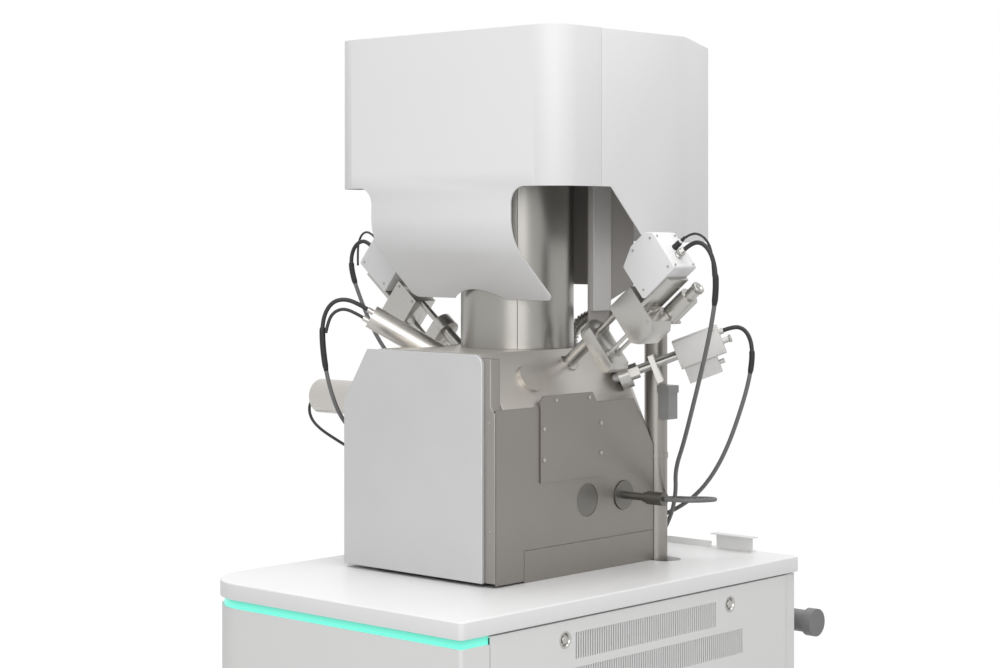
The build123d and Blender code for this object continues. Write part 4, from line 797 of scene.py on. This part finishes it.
CABLES = {
    "lead_right_a": {
        "points": [
            (404.9, 70, 683.9), (427, 71, 699), (453, 75, 694), (469, 79, 672), (471, 83, 643),
            (470, 87, 613),
        ],
        "diameter": 5, "body": "detector_right", "far_end": "object",
        "jacket": ("cable_black", "cable_black", 0),
    },
    "cable_right_a": {
        "points": [
            (408.2, 66, 660.8), (429, 66, 677), (454, 67, 681), (474, 69, 665), (483, 73, 637),
            (484, 77, 604), (478, 82, 566), (463, 91, 520), (434, 110, 459), (391, 141, 389),
            (343, 179, 322), (292, 222, 259), (235, 268, 198), (198, 319, 142), (160, 350, 82),
            (131, 331, 18), (124, 324, -60),
        ],
        "diameter": 9, "body": "detector_right", "far_end": "object",
        "jacket": ("cable_black", "cable_grey", 585),
    },
    "cable_right_b": {
        "points": [
            (313.9, 330.9, 492.4), (333, 345, 501.5), (353, 352, 496), (367, 354, 477), (372, 355, 449),
            (369, 355, 414), (358, 354, 368), (341, 351, 316), (319, 349, 260), (290, 350, 208),
            (255, 354, 165), (215, 361, 131), (172, 367, 105), (132, 366, 85), (97, 346, 76),
            (73, 314, 72), (66, 277, 71),
        ],
        "diameter": 9, "body": "detector_rear", "far_end": "object",
        "jacket": ("cable_black", "cable_grey", 430),
    },
    "port_cable": {
        "points": [
            (278, 176, 147.7), (321, 180, 148), (351, 210, 148), (352, 253, 146), (325, 286, 142),
            (286, 305, 138), (245, 322, 133), (209, 344, 128), (170, 362, 124), (128, 355, 120),
            (103, 320, 118), (99, 277, 118),
        ],
        "diameter": 9, "body": "base", "far_end": "object",
        "jacket": ("cable_grey", "cable_grey", 0),
    },
    "lead_left_a": {
        "points": [
            (-464.9, 70, 683.9), (-486, 72, 699), (-511, 74, 699), (-527, 75, 681), (-530, 74, 653),
            (-527, 72, 623),
        ],
        "diameter": 5, "body": "detector_left", "far_end": "object",
        "jacket": ("cable_black", "cable_black", 0),
    },
    "cable_left_a": {
        "points": [
            (-468.2, 66, 660.8), (-488, 66, 677), (-512, 65, 679), (-532, 63, 663), (-538, 60, 635),
            (-528, 57, 599), (-504, 54, 556), (-476, 54, 506), (-440, 54, 455), (-397, 56, 412),
            (-345, 59, 374), (-298, 60, 350), (-252, 61, 340),
        ],
        "diameter": 9, "body": "detector_left", "far_end": "object",
        "jacket": ("cable_black", "cable_grey", 600),
    },
    "lead_left_b": {
        "points": [
            (-261.3, -167.3, 518.6), (-276, -182, 531), (-292, -197, 538), (-306, -211, 530),
            (-314, -219, 511), (-317, -223, 486),
        ],
        "diameter": 7, "body": "base", "far_end": "object",
        "jacket": ("cable_black", "cable_black", 0),
    },
    "cable_left_b": {
        "points": [
            (-254.5, -160.6, 535.9), (-270, -176, 549), (-288, -193, 558), (-306, -209, 554),
            (-319, -220, 535), (-326, -225, 504), (-327, -223, 460), (-324, -217, 409),
            (-320, -205, 360), (-316, -187, 315), (-306, -166, 282), (-284, -145, 259),
            (-252, -137, 248),
        ],
        "diameter": 9, "body": "base", "far_end": "object",
        "jacket": ("cable_black", "cable_grey", 440),
    },
    "camera_cable": {
        "points": [
            (-455, -110, 335), (-472, -110, 336), (-486, -110, 327), (-493, -110, 311),
            (-489, -110, 293), (-475, -110, 278), (-451, -110, 264), (-417, -109, 250),
            (-377, -108, 235), (-334, -107, 221), (-292, -106, 209), (-252, -105, 201),
        ],
        "diameter": 6.5, "body": "base", "far_end": "object",
        "jacket": ("cable_black", "cable_black", 0),
    },
}
# Sleeves over the place where a cable changes: its cable, the levels of its top and foot, how much it
# swells and the body that it rides on
SLEEVES = {
    "sleeve_right_a": ("cable_right_a", 618, 556, 1.5, "detector_right"),
    "sleeve_right_b": ("cable_right_b", 452, 404, 1.3, "detector_rear"),
    "sleeve_left_a": ("cable_left_a", 630, 580, 1.5, "detector_left"),
    "sleeve_left_b": ("cable_left_b", 500, 404, 1.6, "base"),
}
ROUTE_STEPS = 16
ROUTE_ORDER = 3
SLEEVE_WALL = 0.25
# Shares of a sleeve's length over which it swells and narrows, and its least share of the swelling
SLEEVE_TOP_TAPER, SLEEVE_FOOT_TAPER, SLEEVE_LEAST_SWELL = 0.06, 0.12, 0.2


def smooth_route(name, points):
    """Points along the smooth spline that a cable's route steers."""
    curve = bpy.data.curves.new(name + "_route", "CURVE")
    curve.dimensions = "3D"
    curve.resolution_u = ROUTE_STEPS
    spline = curve.splines.new("NURBS")
    spline.points.add(len(points) - 1)
    for control, point in zip(spline.points, points):
        control.co = (*table_point(*point), 1)
    spline.order_u = ROUTE_ORDER
    spline.use_endpoint_u = True
    carrier = bpy.data.objects.new(name + "_route", curve)
    bpy.context.scene.collection.objects.link(carrier)
    line = evaluated_mesh(carrier)
    path = [vertex.co.copy() for vertex in line.vertices]
    bpy.data.objects.remove(carrier)
    bpy.data.meshes.remove(line)
    return path


def falling_part(path):
    """A path from its highest point on."""
    peak = max(range(len(path)), key=lambda index: path[index].z)
    return path[peak:]


def jacket_material(name, jacket):
    """A cable's finish: one colour, or two that meet at a level."""
    upper, lower, level = jacket
    if upper == lower:
        return finish(upper)
    colours = bpy.context.scene.microscope_finish
    first, second = tuple(getattr(colours, upper)), tuple(getattr(colours, lower))
    return two_tone(name + "_jacket", first, second, table_point(0, 0, level).z)


def sleeve_mesh(name, path, top, foot, radius, grow):
    """Tapered sleeve over the stretch of a cable between two levels."""
    high, low = table_point(0, 0, top).z, table_point(0, 0, foot).z
    stretch = [point for point in falling_part(path) if low <= point.z <= high]
    count = len(stretch) - 1
    radii = []
    for index in range(count + 1):
        share = index / count
        swell = min(1, share / SLEEVE_TOP_TAPER, (1 - share) / SLEEVE_FOOT_TAPER)
        radii.append((radius + SLEEVE_WALL + grow * max(swell, SLEEVE_LEAST_SWELL)) * MM)
    sides = bpy.context.scene.microscope_sizes.cable_sides
    return mesh_from(lambda shape: tube_rings(shape, stretch, radii, sides), name)


def fit_sleeve(piece, path, sleeve, radius, moves):
    """A cable's sleeve; a cable that moves has its transform applied to its mesh."""
    _, top, foot, grow, body = SLEEVES[sleeve]
    mesh = sleeve_mesh(sleeve, path, top, foot, radius, grow)
    cover = add_piece(sleeve, mesh, body, finish("black_rubber"))
    if moves:
        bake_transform(piece)
    return cover


def cable_piece(name, facts):
    """One cable as a smooth tube, with whatever sits on it."""
    path = smooth_route(name, facts["points"])
    radius = facts["diameter"] / 2
    sides = bpy.context.scene.microscope_sizes.cable_sides
    mesh = mesh_from(lambda shape: tube_rings(shape, path, [radius * MM] * len(path), sides), name)
    moves = facts["body"] != "base" and name.startswith("cable")
    jacket = jacket_material(name, facts["jacket"])
    piece = add_piece(name + "_tube", mesh, None if moves else facts["body"], jacket)
    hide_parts(name)
    sleeves = [sleeve for sleeve, (cable, *_) in SLEEVES.items() if cable == name]
    fitted = [fit_sleeve(piece, path, sleeve, radius, moves) for sleeve in sleeves]


# Plugs and grommets, in millimetres. A profile is (distance along the axis, radius).

# Place of a white housing's outer face along its detector, and across and up on that face
HOUSING_END = 361
BOOT_PLACE, COLLAR_PLACE = (6, 14), (2, -6)
BOOT_PROFILE = (
    (0, 0), (0, 6.6), (3, 6.8), (4, 6.2), (15, 6.2), (17, 5.6), (27, 3.6), (34, 2.8), (34, 0),
)
COLLAR_PROFILE = (
    (0, 0), (0, 8.6), (2.2, 8.6), (2.6, 7.4), (8, 7.4), (8.5, 8.2), (13, 8.2), (13.8, 7.4), (14, 5.2),
    (21, 4.8), (21, 0),
)
# Where each grommet sits, the way it points, and the diameter of its cable
GROMMETS = {
    "grommet_left_a": ((-252, 61, 340), (-1, 0, 0.2), 9),
    "grommet_left_b": ((-252, -137, 248), (-1, -0.25, 0.33), 9),
    "grommet_camera": ((-252, -105, 201), (-1, 0, 0.1), 6.5),
    "grommet_rear_b": ((66, 277, 71), (0.15, 1, 0), 9),
    "grommet_port": ((99, 277, 118), (0.1, 1, 0), 9),
}
GROMMET_LENGTH = 22
GROMMET_SUNK = 0.5
GROMMET_RINGS = 5
GROMMET_SIDES = 28
# Shares of the cable's radius: at the foot, lost over the length, and at the end
GROMMET_FOOT, GROMMET_TAPER, GROMMET_END = 1.75, 0.6, 1.06
# One ring: share of its length, and share of the cable's radius that is cut away there
GROMMET_RING = ((0, 0), (0.55, 0.05), (0.62, 0.22), (0.95, 0.2))


def grommet_profile(radius):
    """Tapered ribbed boot round a cable where it enters the machine."""
    step = GROMMET_LENGTH / GROMMET_RINGS
    profile = [(-GROMMET_SUNK, radius * GROMMET_FOOT)]
    for index in range(GROMMET_RINGS):
        wide = radius * (GROMMET_FOOT - GROMMET_TAPER * index / GROMMET_RINGS)
        profile += [(step * (index + share), wide - radius * cut) for share, cut in GROMMET_RING]
    profile.append((GROMMET_LENGTH, radius * GROMMET_END))
    return profile


def plug_pair(placing, body, side):
    """Black boot of the thin lead and bright coupling of the thick one, on a white housing."""
    boot, collar = placing.point(HOUSING_END, *BOOT_PLACE), placing.point(HOUSING_END, *COLLAR_PLACE)
    rubber, steel = finish("black_rubber"), finish("turned_steel")
    turned_piece(f"plug_boot_{side}", boot, placing.out, BOOT_PROFILE, body, rubber)
    turned_piece(f"plug_collar_{side}", collar, placing.out, COLLAR_PROFILE, body, steel)


# Screws, in millimetres. A place on a detector is (along, up) in its own frame, and a face lies across it.

FRONTWARDS, REARWARDS = Vector((0, -1, 0)), Vector((0, 1, 0))
HOUSING_SCREWS = ((272, -22), (350, -24), (350, 48), (300, 56))
HOUSING_FACES = (-34, 38)
HOUSING_END_ACROSS, HOUSING_END_UP = (-27, 31), (-29, 44)
CARRIAGE_SCREWS = ((184, 0), (236, 0), (184, -74), (236, -74))
CARRIAGE_FACES = (-28, 34)
HOLDER_SCREWS = ((93, -40), (93, -76))
HOLDER_FACE = -28
SLANT_SCREWS = ((126, 23), (210, 23), (126, -23), (210, -23))
SLANT_FACE = -29
COLUMN_SHELL_RADIUS = 120
COLUMN_SCREW_LEVELS = (482, 541)
COLUMN_SCREW_ANGLE = math.radians(-38)
DOOR_SCREW_X, DOOR_FACE = 157, -224
DOOR_SCREW_LEVELS = (110, 324)
SCREW_SIDES = 24
# Level and radius as shares of the head's radius: the rim, its chamfer and the socket
SCREW_PROFILE = ((-0.2, 1.0), (0.62, 1.0), (0.75, 0.88), (0.75, 0.5), (0.3, 0.46), (0.3, 0))


def cap_screw_mesh():
    """Cap screw of unit head radius, with a chamfered rim and a round socket."""

    def build(shape):
        up, side, other = Vector((0, 0, 1)), Vector((1, 0, 0)), Vector((0, 1, 0))
        rings = []
        for level, radius in SCREW_PROFILE:
            rings.append(turned_ring(shape, up * level, side, other, radius, SCREW_SIDES))
        join_all(shape, rings)
        shape.faces.new(rings[0])

    return mesh_from(build, "cap_screw")


def block_screws(placing, rows, faces):
    """Screws in the same rows on a block's front face and on its rear face."""
    front, rear = faces
    places = [(placing.point(along, front, up), FRONTWARDS) for along, up in rows]
    return places + [(placing.point(along, rear, up), REARWARDS) for along, up in rows]


def detector_screws(placing):
    """Screws of a retractable detector's housing and carriage."""
    places = block_screws(placing, HOUSING_SCREWS, HOUSING_FACES)
    for across in HOUSING_END_ACROSS:
        places += [(placing.point(HOUSING_END, across, up), placing.out) for up in HOUSING_END_UP]
    return places + block_screws(placing, CARRIAGE_SCREWS, CARRIAGE_FACES)


def holder_screws(placing):
    """Screws in the front face of a retractable detector's holder."""
    return [(placing.point(along, HOLDER_FACE, up), FRONTWARDS) for along, up in HOLDER_SCREWS]


def column_screws():
    """Screws that join the two column covers, beside their seam."""
    out = Vector((math.cos(COLUMN_SCREW_ANGLE), math.sin(COLUMN_SCREW_ANGLE), 0))
    shell = out * COLUMN_SHELL_RADIUS * MM
    return [(table_point(COLUMN_X, COLUMN_Y, level) + shell, out) for level in COLUMN_SCREW_LEVELS]


def slant_screws():
    """Screws in the side of the slanting detector's housing."""
    return [(SLANT.point(along, SLANT_FACE, up), -SLANT.across) for along, up in SLANT_SCREWS]


def door_screws():
    """Two screws in the door's uncovered right margin."""
    return [(table_point(DOOR_SCREW_X, DOOR_FACE, level), FRONTWARDS) for level in DOOR_SCREW_LEVELS]


# Knobs: place in the detector's frame, radius and length, in millimetres

DRIVE_KNOB = ((321, 56, -62), 13.5, 9)
SLANT_KNOB = ((232, -4, -6), 8.5, 6)
KNOB_SIDES = 40
KNOB_CHAMFER, KNOB_DISH = 0.4, 0.8
# Shares of a knob's radius
KNOB_FOOT, KNOB_RIM, KNOB_FACE, DISH_EDGE, DISH_FLOOR = 0.82, 0.9, 0.8, 0.55, 0.5
RIB_SEAT = 0.885
# Share of the space between two ribs that a rib fills, and how far its ends stay inside the knob's
RIB_FILL = 0.62
RIB_END_GAP = 0.9
# A rib's section as (across, outwards), in shares of its width
RIB_OUTLINE = ((-0.5, 0), (-0.32, 0.75), (0, 1.0), (0.32, 0.75), (0.5, 0))


def knob_profile(radius, length):
    """Knob with a chamfered foot and a dished face."""
    floor = length - KNOB_DISH
    return [
        (0, 0), (0, radius * KNOB_FOOT), (KNOB_CHAMFER, radius * KNOB_RIM), (floor, radius * KNOB_RIM),
        (length, radius * KNOB_FACE), (length, radius * DISH_EDGE), (floor, radius * DISH_FLOOR), (floor, 0),
    ]


def rib_mesh(width, half_length):
    """One rib: its foot on the Z axis, its crown towards X."""

    def build(shape):
        ends = []
        for end in (-half_length, half_length):
            ends.append([shape.verts.new((out * width, across * width, end)) for across, out in RIB_OUTLINE])
        join_all(shape, ends)
        for end in ends:
            shape.faces.new(end)

    return mesh_from(build, "rib")


def ribbed_knob(name, placing, knob, body):
    """Round knob with ribs along its rim, on a detector's drive."""
    place, radius, length = knob
    origin, axis, material = placing.point(*place), placing.out, finish("turned_steel")
    turned_piece(name, origin, axis, knob_profile(radius, length), body, material, KNOB_SIDES)
    count = bpy.context.scene.microscope_sizes.knob_ribs
    width = radius * KNOB_RIM * MM * math.tau / count * RIB_FILL
    rib = rib_mesh(width, (length / 2 - RIB_END_GAP) * MM)
    rim = {"Ribs": count, "Rim": radius * RIB_SEAT * MM, "Size": 1.0, "Finish": material}
    mesh = grown_mesh(name + "_ribs", bpy.data.meshes.new(name + "_rim"), rim_tree(), rib, rim)
    side, other = square_to(axis)
    turn = Matrix((side, other, axis)).transposed().to_4x4()
    mesh.transform(Matrix.Translation(origin + axis * (length / 2) * MM) @ turn)
    add_piece(name + "_ribs", mesh, body, material, smooth=False)


# Operators


class MICROSCOPE_OT_finishes(bpy.types.Operator):
    """Give every part of the machine its finish."""

    bl_idname = "microscope.finishes"
    bl_label = "Finishes"

    def execute(self, context):
        for name, node in NODES.items():
            if name in NODE_FINISH:
                for slot in node.material_slots:
                    slot.material = finish(NODE_FINISH[name])
        return {"FINISHED"}


class MICROSCOPE_OT_cables(bpy.types.Operator):
    """Lay the nine cables and leads, with their sleeves."""

    bl_idname = "microscope.cables"
    bl_label = "Cables"

    def execute(self, context):
        for name, facts in CABLES.items():
            cable_piece(name, facts)
        return {"FINISHED"}


class MICROSCOPE_OT_plugs(bpy.types.Operator):
    """Put boots, couplings and grommets where the cables start and end."""

    bl_idname = "microscope.plugs"
    bl_label = "Plugs and grommets"

    def execute(self, context):
        plug_pair(RIGHT, "detector_right", "right")
        plug_pair(LEFT, "detector_left", "left")
        rubber = finish("black_rubber")
        for name, (place, axis, diameter) in GROMMETS.items():
            origin, along, profile = table_point(*place), Vector(axis), grommet_profile(diameter / 2)
            turned_piece(name, origin, along, profile, "base", rubber, GROMMET_SIDES)
        return {"FINISHED"}


class MICROSCOPE_OT_rounded_edges(bpy.types.Operator):
    """Round the edges of the covers, housings and milled blocks."""

    bl_idname = "microscope.rounded_edges"
    bl_label = "Rounded edges"

    def execute(self, context):
        for name, width in EDGE_ROUNDING.items():
            softened(name, width)
        return {"FINISHED"}


class MICROSCOPE_OT_screws(bpy.types.Operator):
    """Screw the housings, carriages, holders, column covers and door."""

    bl_idname = "microscope.screws"
    bl_label = "Screws"

    def execute(self, context):
        size = context.scene.microscope_sizes.screw_radius
        steel = finish("turned_steel")
        sets = {
            "detector_right": detector_screws(RIGHT),
            "detector_left": detector_screws(LEFT),
            "base": holder_screws(RIGHT) + holder_screws(LEFT) + column_screws(),
            "detector_rear": slant_screws(),
            "door": door_screws(),
        }
        for body, places in sets.items():
            piece = scatter(f"screws_{body}", cap_screw_mesh(), places, size, steel, body)
        return {"FINISHED"}


class MICROSCOPE_OT_detector_fittings(bpy.types.Operator):
    """Add the ribbed knobs of the detectors' drives."""

    bl_idname = "microscope.detector_fittings"
    bl_label = "Detector fittings"

    def execute(self, context):
        ribbed_knob("drive_knob_right", RIGHT, DRIVE_KNOB, "detector_right")
        ribbed_knob("drive_knob_left", LEFT, DRIVE_KNOB, "detector_left")
        ribbed_knob("slant_knob", SLANT, SLANT_KNOB, "detector_rear")
        return {"FINISHED"}


class MICROSCOPE_OT_studio(bpy.types.Operator):
    """Set the floor, the light and the camera."""

    bl_idname = "microscope.studio"
    bl_label = "Studio"

    def execute(self, context):
        lay_floor()
        light_world()
        for name, lamp in LAMPS.items():
            hang_lamp(name, *lamp)
        aim_camera()
        context.scene.view_settings.view_transform = "Standard"
        return {"FINISHED"}


# Studio

FLOOR_SIZE = 60
FLOOR_WHITE = 1.22
FLOOR_GREY = 0.5
FLOOR_SHADOW_SHARE = 0.22
WORLD_LIGHT = 0.54
WORLD_WHITE = 1
LAMP_TARGET = (0, 0, 1.2)
# Place, size and power of each lamp
LAMPS = {
    "front_lamp": ((3.7, -4.2, 3.0), (4.5, 4.5), 140),
    "top_lamp": ((0.2, 0.2, 4.6), (4.0, 4.0), 112),
}


def lay_floor():
    """White floor that still takes a soft shadow."""
    mesh = bpy.data.meshes.new("studio_floor")
    half = FLOOR_SIZE / 2
    corners = [(-half, -half, 0), (half, -half, 0), (half, half, 0), (-half, half, 0)]
    mesh.from_pydata(corners, [], [(0, 1, 2, 3)])
    floor = bpy.data.objects.new("studio_floor", mesh)
    bpy.context.scene.collection.objects.link(floor)
    material = bpy.data.materials.new("studio_floor")
    material.use_nodes = True
    tree = material.node_tree
    tree.nodes.clear()
    output = tree.nodes.new("ShaderNodeOutputMaterial")
    matte = tree.nodes.new("ShaderNodeBsdfDiffuse")
    matte.inputs["Color"].default_value = (FLOOR_GREY, FLOOR_GREY, FLOOR_GREY, 1)
    white = tree.nodes.new("ShaderNodeEmission")
    white.inputs["Color"].default_value = (FLOOR_WHITE, FLOOR_WHITE, FLOOR_WHITE, 1)
    share = tree.nodes.new("ShaderNodeMixShader")
    share.inputs[0].default_value = FLOOR_SHADOW_SHARE
    seen = tree.nodes.new("ShaderNodeMixShader")
    tree.links.new(white.outputs[0], share.inputs[1])
    tree.links.new(matte.outputs[0], share.inputs[2])
    tree.links.new(seen_directly(tree), seen.inputs[0])
    tree.links.new(matte.outputs[0], seen.inputs[1])
    tree.links.new(share.outputs[0], seen.inputs[2])
    tree.links.new(seen.outputs[0], output.inputs["Surface"])
    mesh.materials.append(material)


def seen_directly(tree):
    """1 for camera, mirror and see-through rays."""
    rays = tree.nodes.new("ShaderNodeLightPath")
    first = tree.nodes.new("ShaderNodeMath")
    first.operation = "MAXIMUM"
    second = tree.nodes.new("ShaderNodeMath")
    second.operation = "MAXIMUM"
    tree.links.new(rays.outputs["Is Camera Ray"], first.inputs[0])
    tree.links.new(rays.outputs["Is Glossy Ray"], first.inputs[1])
    tree.links.new(first.outputs[0], second.inputs[0])
    tree.links.new(rays.outputs["Is Transmission Ray"], second.inputs[1])
    return second.outputs[0]


def plain_light(tree, strength):
    """White light of one strength from all round."""
    light = tree.nodes.new("ShaderNodeBackground")
    light.inputs["Color"].default_value = (1, 1, 1, 1)
    light.inputs["Strength"].default_value = strength
    return light.outputs[0]


def light_world():
    """Soft light from all round, behind a background that is seen as white."""
    world = bpy.data.worlds.new("studio")
    bpy.context.scene.world = world
    world.use_nodes = True
    tree = world.node_tree
    tree.nodes.clear()
    output = tree.nodes.new("ShaderNodeOutputWorld")
    mix = tree.nodes.new("ShaderNodeMixShader")
    tree.links.new(seen_directly(tree), mix.inputs[0])
    tree.links.new(plain_light(tree, WORLD_LIGHT), mix.inputs[1])
    tree.links.new(plain_light(tree, WORLD_WHITE), mix.inputs[2])
    tree.links.new(mix.outputs[0], output.inputs["Surface"])


def hang_lamp(name, place, size, power):
    """Area lamp that points at the middle of the machine."""
    lamp = bpy.data.lights.new(name, "AREA")
    lamp.shape = "RECTANGLE"
    lamp.size, lamp.size_y = size
    lamp.energy = power
    holder = bpy.data.objects.new(name, lamp)
    bpy.context.scene.collection.objects.link(holder)
    holder.location = place
    holder.rotation_euler = (Vector(LAMP_TARGET) - Vector(place)).to_track_quat("-Z", "Y").to_euler()


def aim_camera():
    """Camera at the place of the photograph's."""
    data = bpy.data.cameras.new("camera")
    data.lens = CAMERA_LENS
    data.sensor_width = CAMERA_SENSOR
    data.shift_y = CAMERA_SHIFT_Y
    camera = bpy.data.objects.new("camera", data)
    bpy.context.scene.collection.objects.link(camera)
    camera.location = table_point(*CAMERA_PLACE)
    camera.rotation_euler = (math.pi / 2, 0, CAMERA_TURN)
    bpy.context.scene.camera = camera


class MICROSCOPE_PT_panel(bpy.types.Panel):
    """Lists the steps that dress the microscope."""

    bl_idname = "MICROSCOPE_PT_panel"
    bl_label = "Microscope"
    bl_space_type = "VIEW_3D"
    bl_region_type = "UI"
    bl_category = "Microscope"

    def draw(self, context):
        layout = self.layout
        for step in STEPS:
            layout.operator(step.bl_idname)
        for group in (context.scene.microscope_finish, context.scene.microscope_sizes):
            for name in group.__annotations__:
                layout.prop(group, name)


STEPS = (
    MICROSCOPE_OT_studio,
    MICROSCOPE_OT_finishes,
    MICROSCOPE_OT_rounded_edges,
    MICROSCOPE_OT_cables,
    MICROSCOPE_OT_plugs,
    MICROSCOPE_OT_screws,
    MICROSCOPE_OT_detector_fittings,
)
CLASSES = (MicroscopeFinish, MicroscopeSizes, *STEPS, MICROSCOPE_PT_panel)


def register():
    for item in CLASSES:
        bpy.utils.register_class(item)
    bpy.types.Scene.microscope_finish = PointerProperty(type=MicroscopeFinish)
    bpy.types.Scene.microscope_sizes = PointerProperty(type=MicroscopeSizes)


def unregister():
    del bpy.types.Scene.microscope_sizes
    del bpy.types.Scene.microscope_finish
    for item in reversed(CLASSES):
        bpy.utils.unregister_class(item)


def main():
    register()
    for step in STEPS:
        group, name = step.bl_idname.split(".")
        getattr(getattr(bpy.ops, group), name)()


if __name__ == "__main__":
    main()
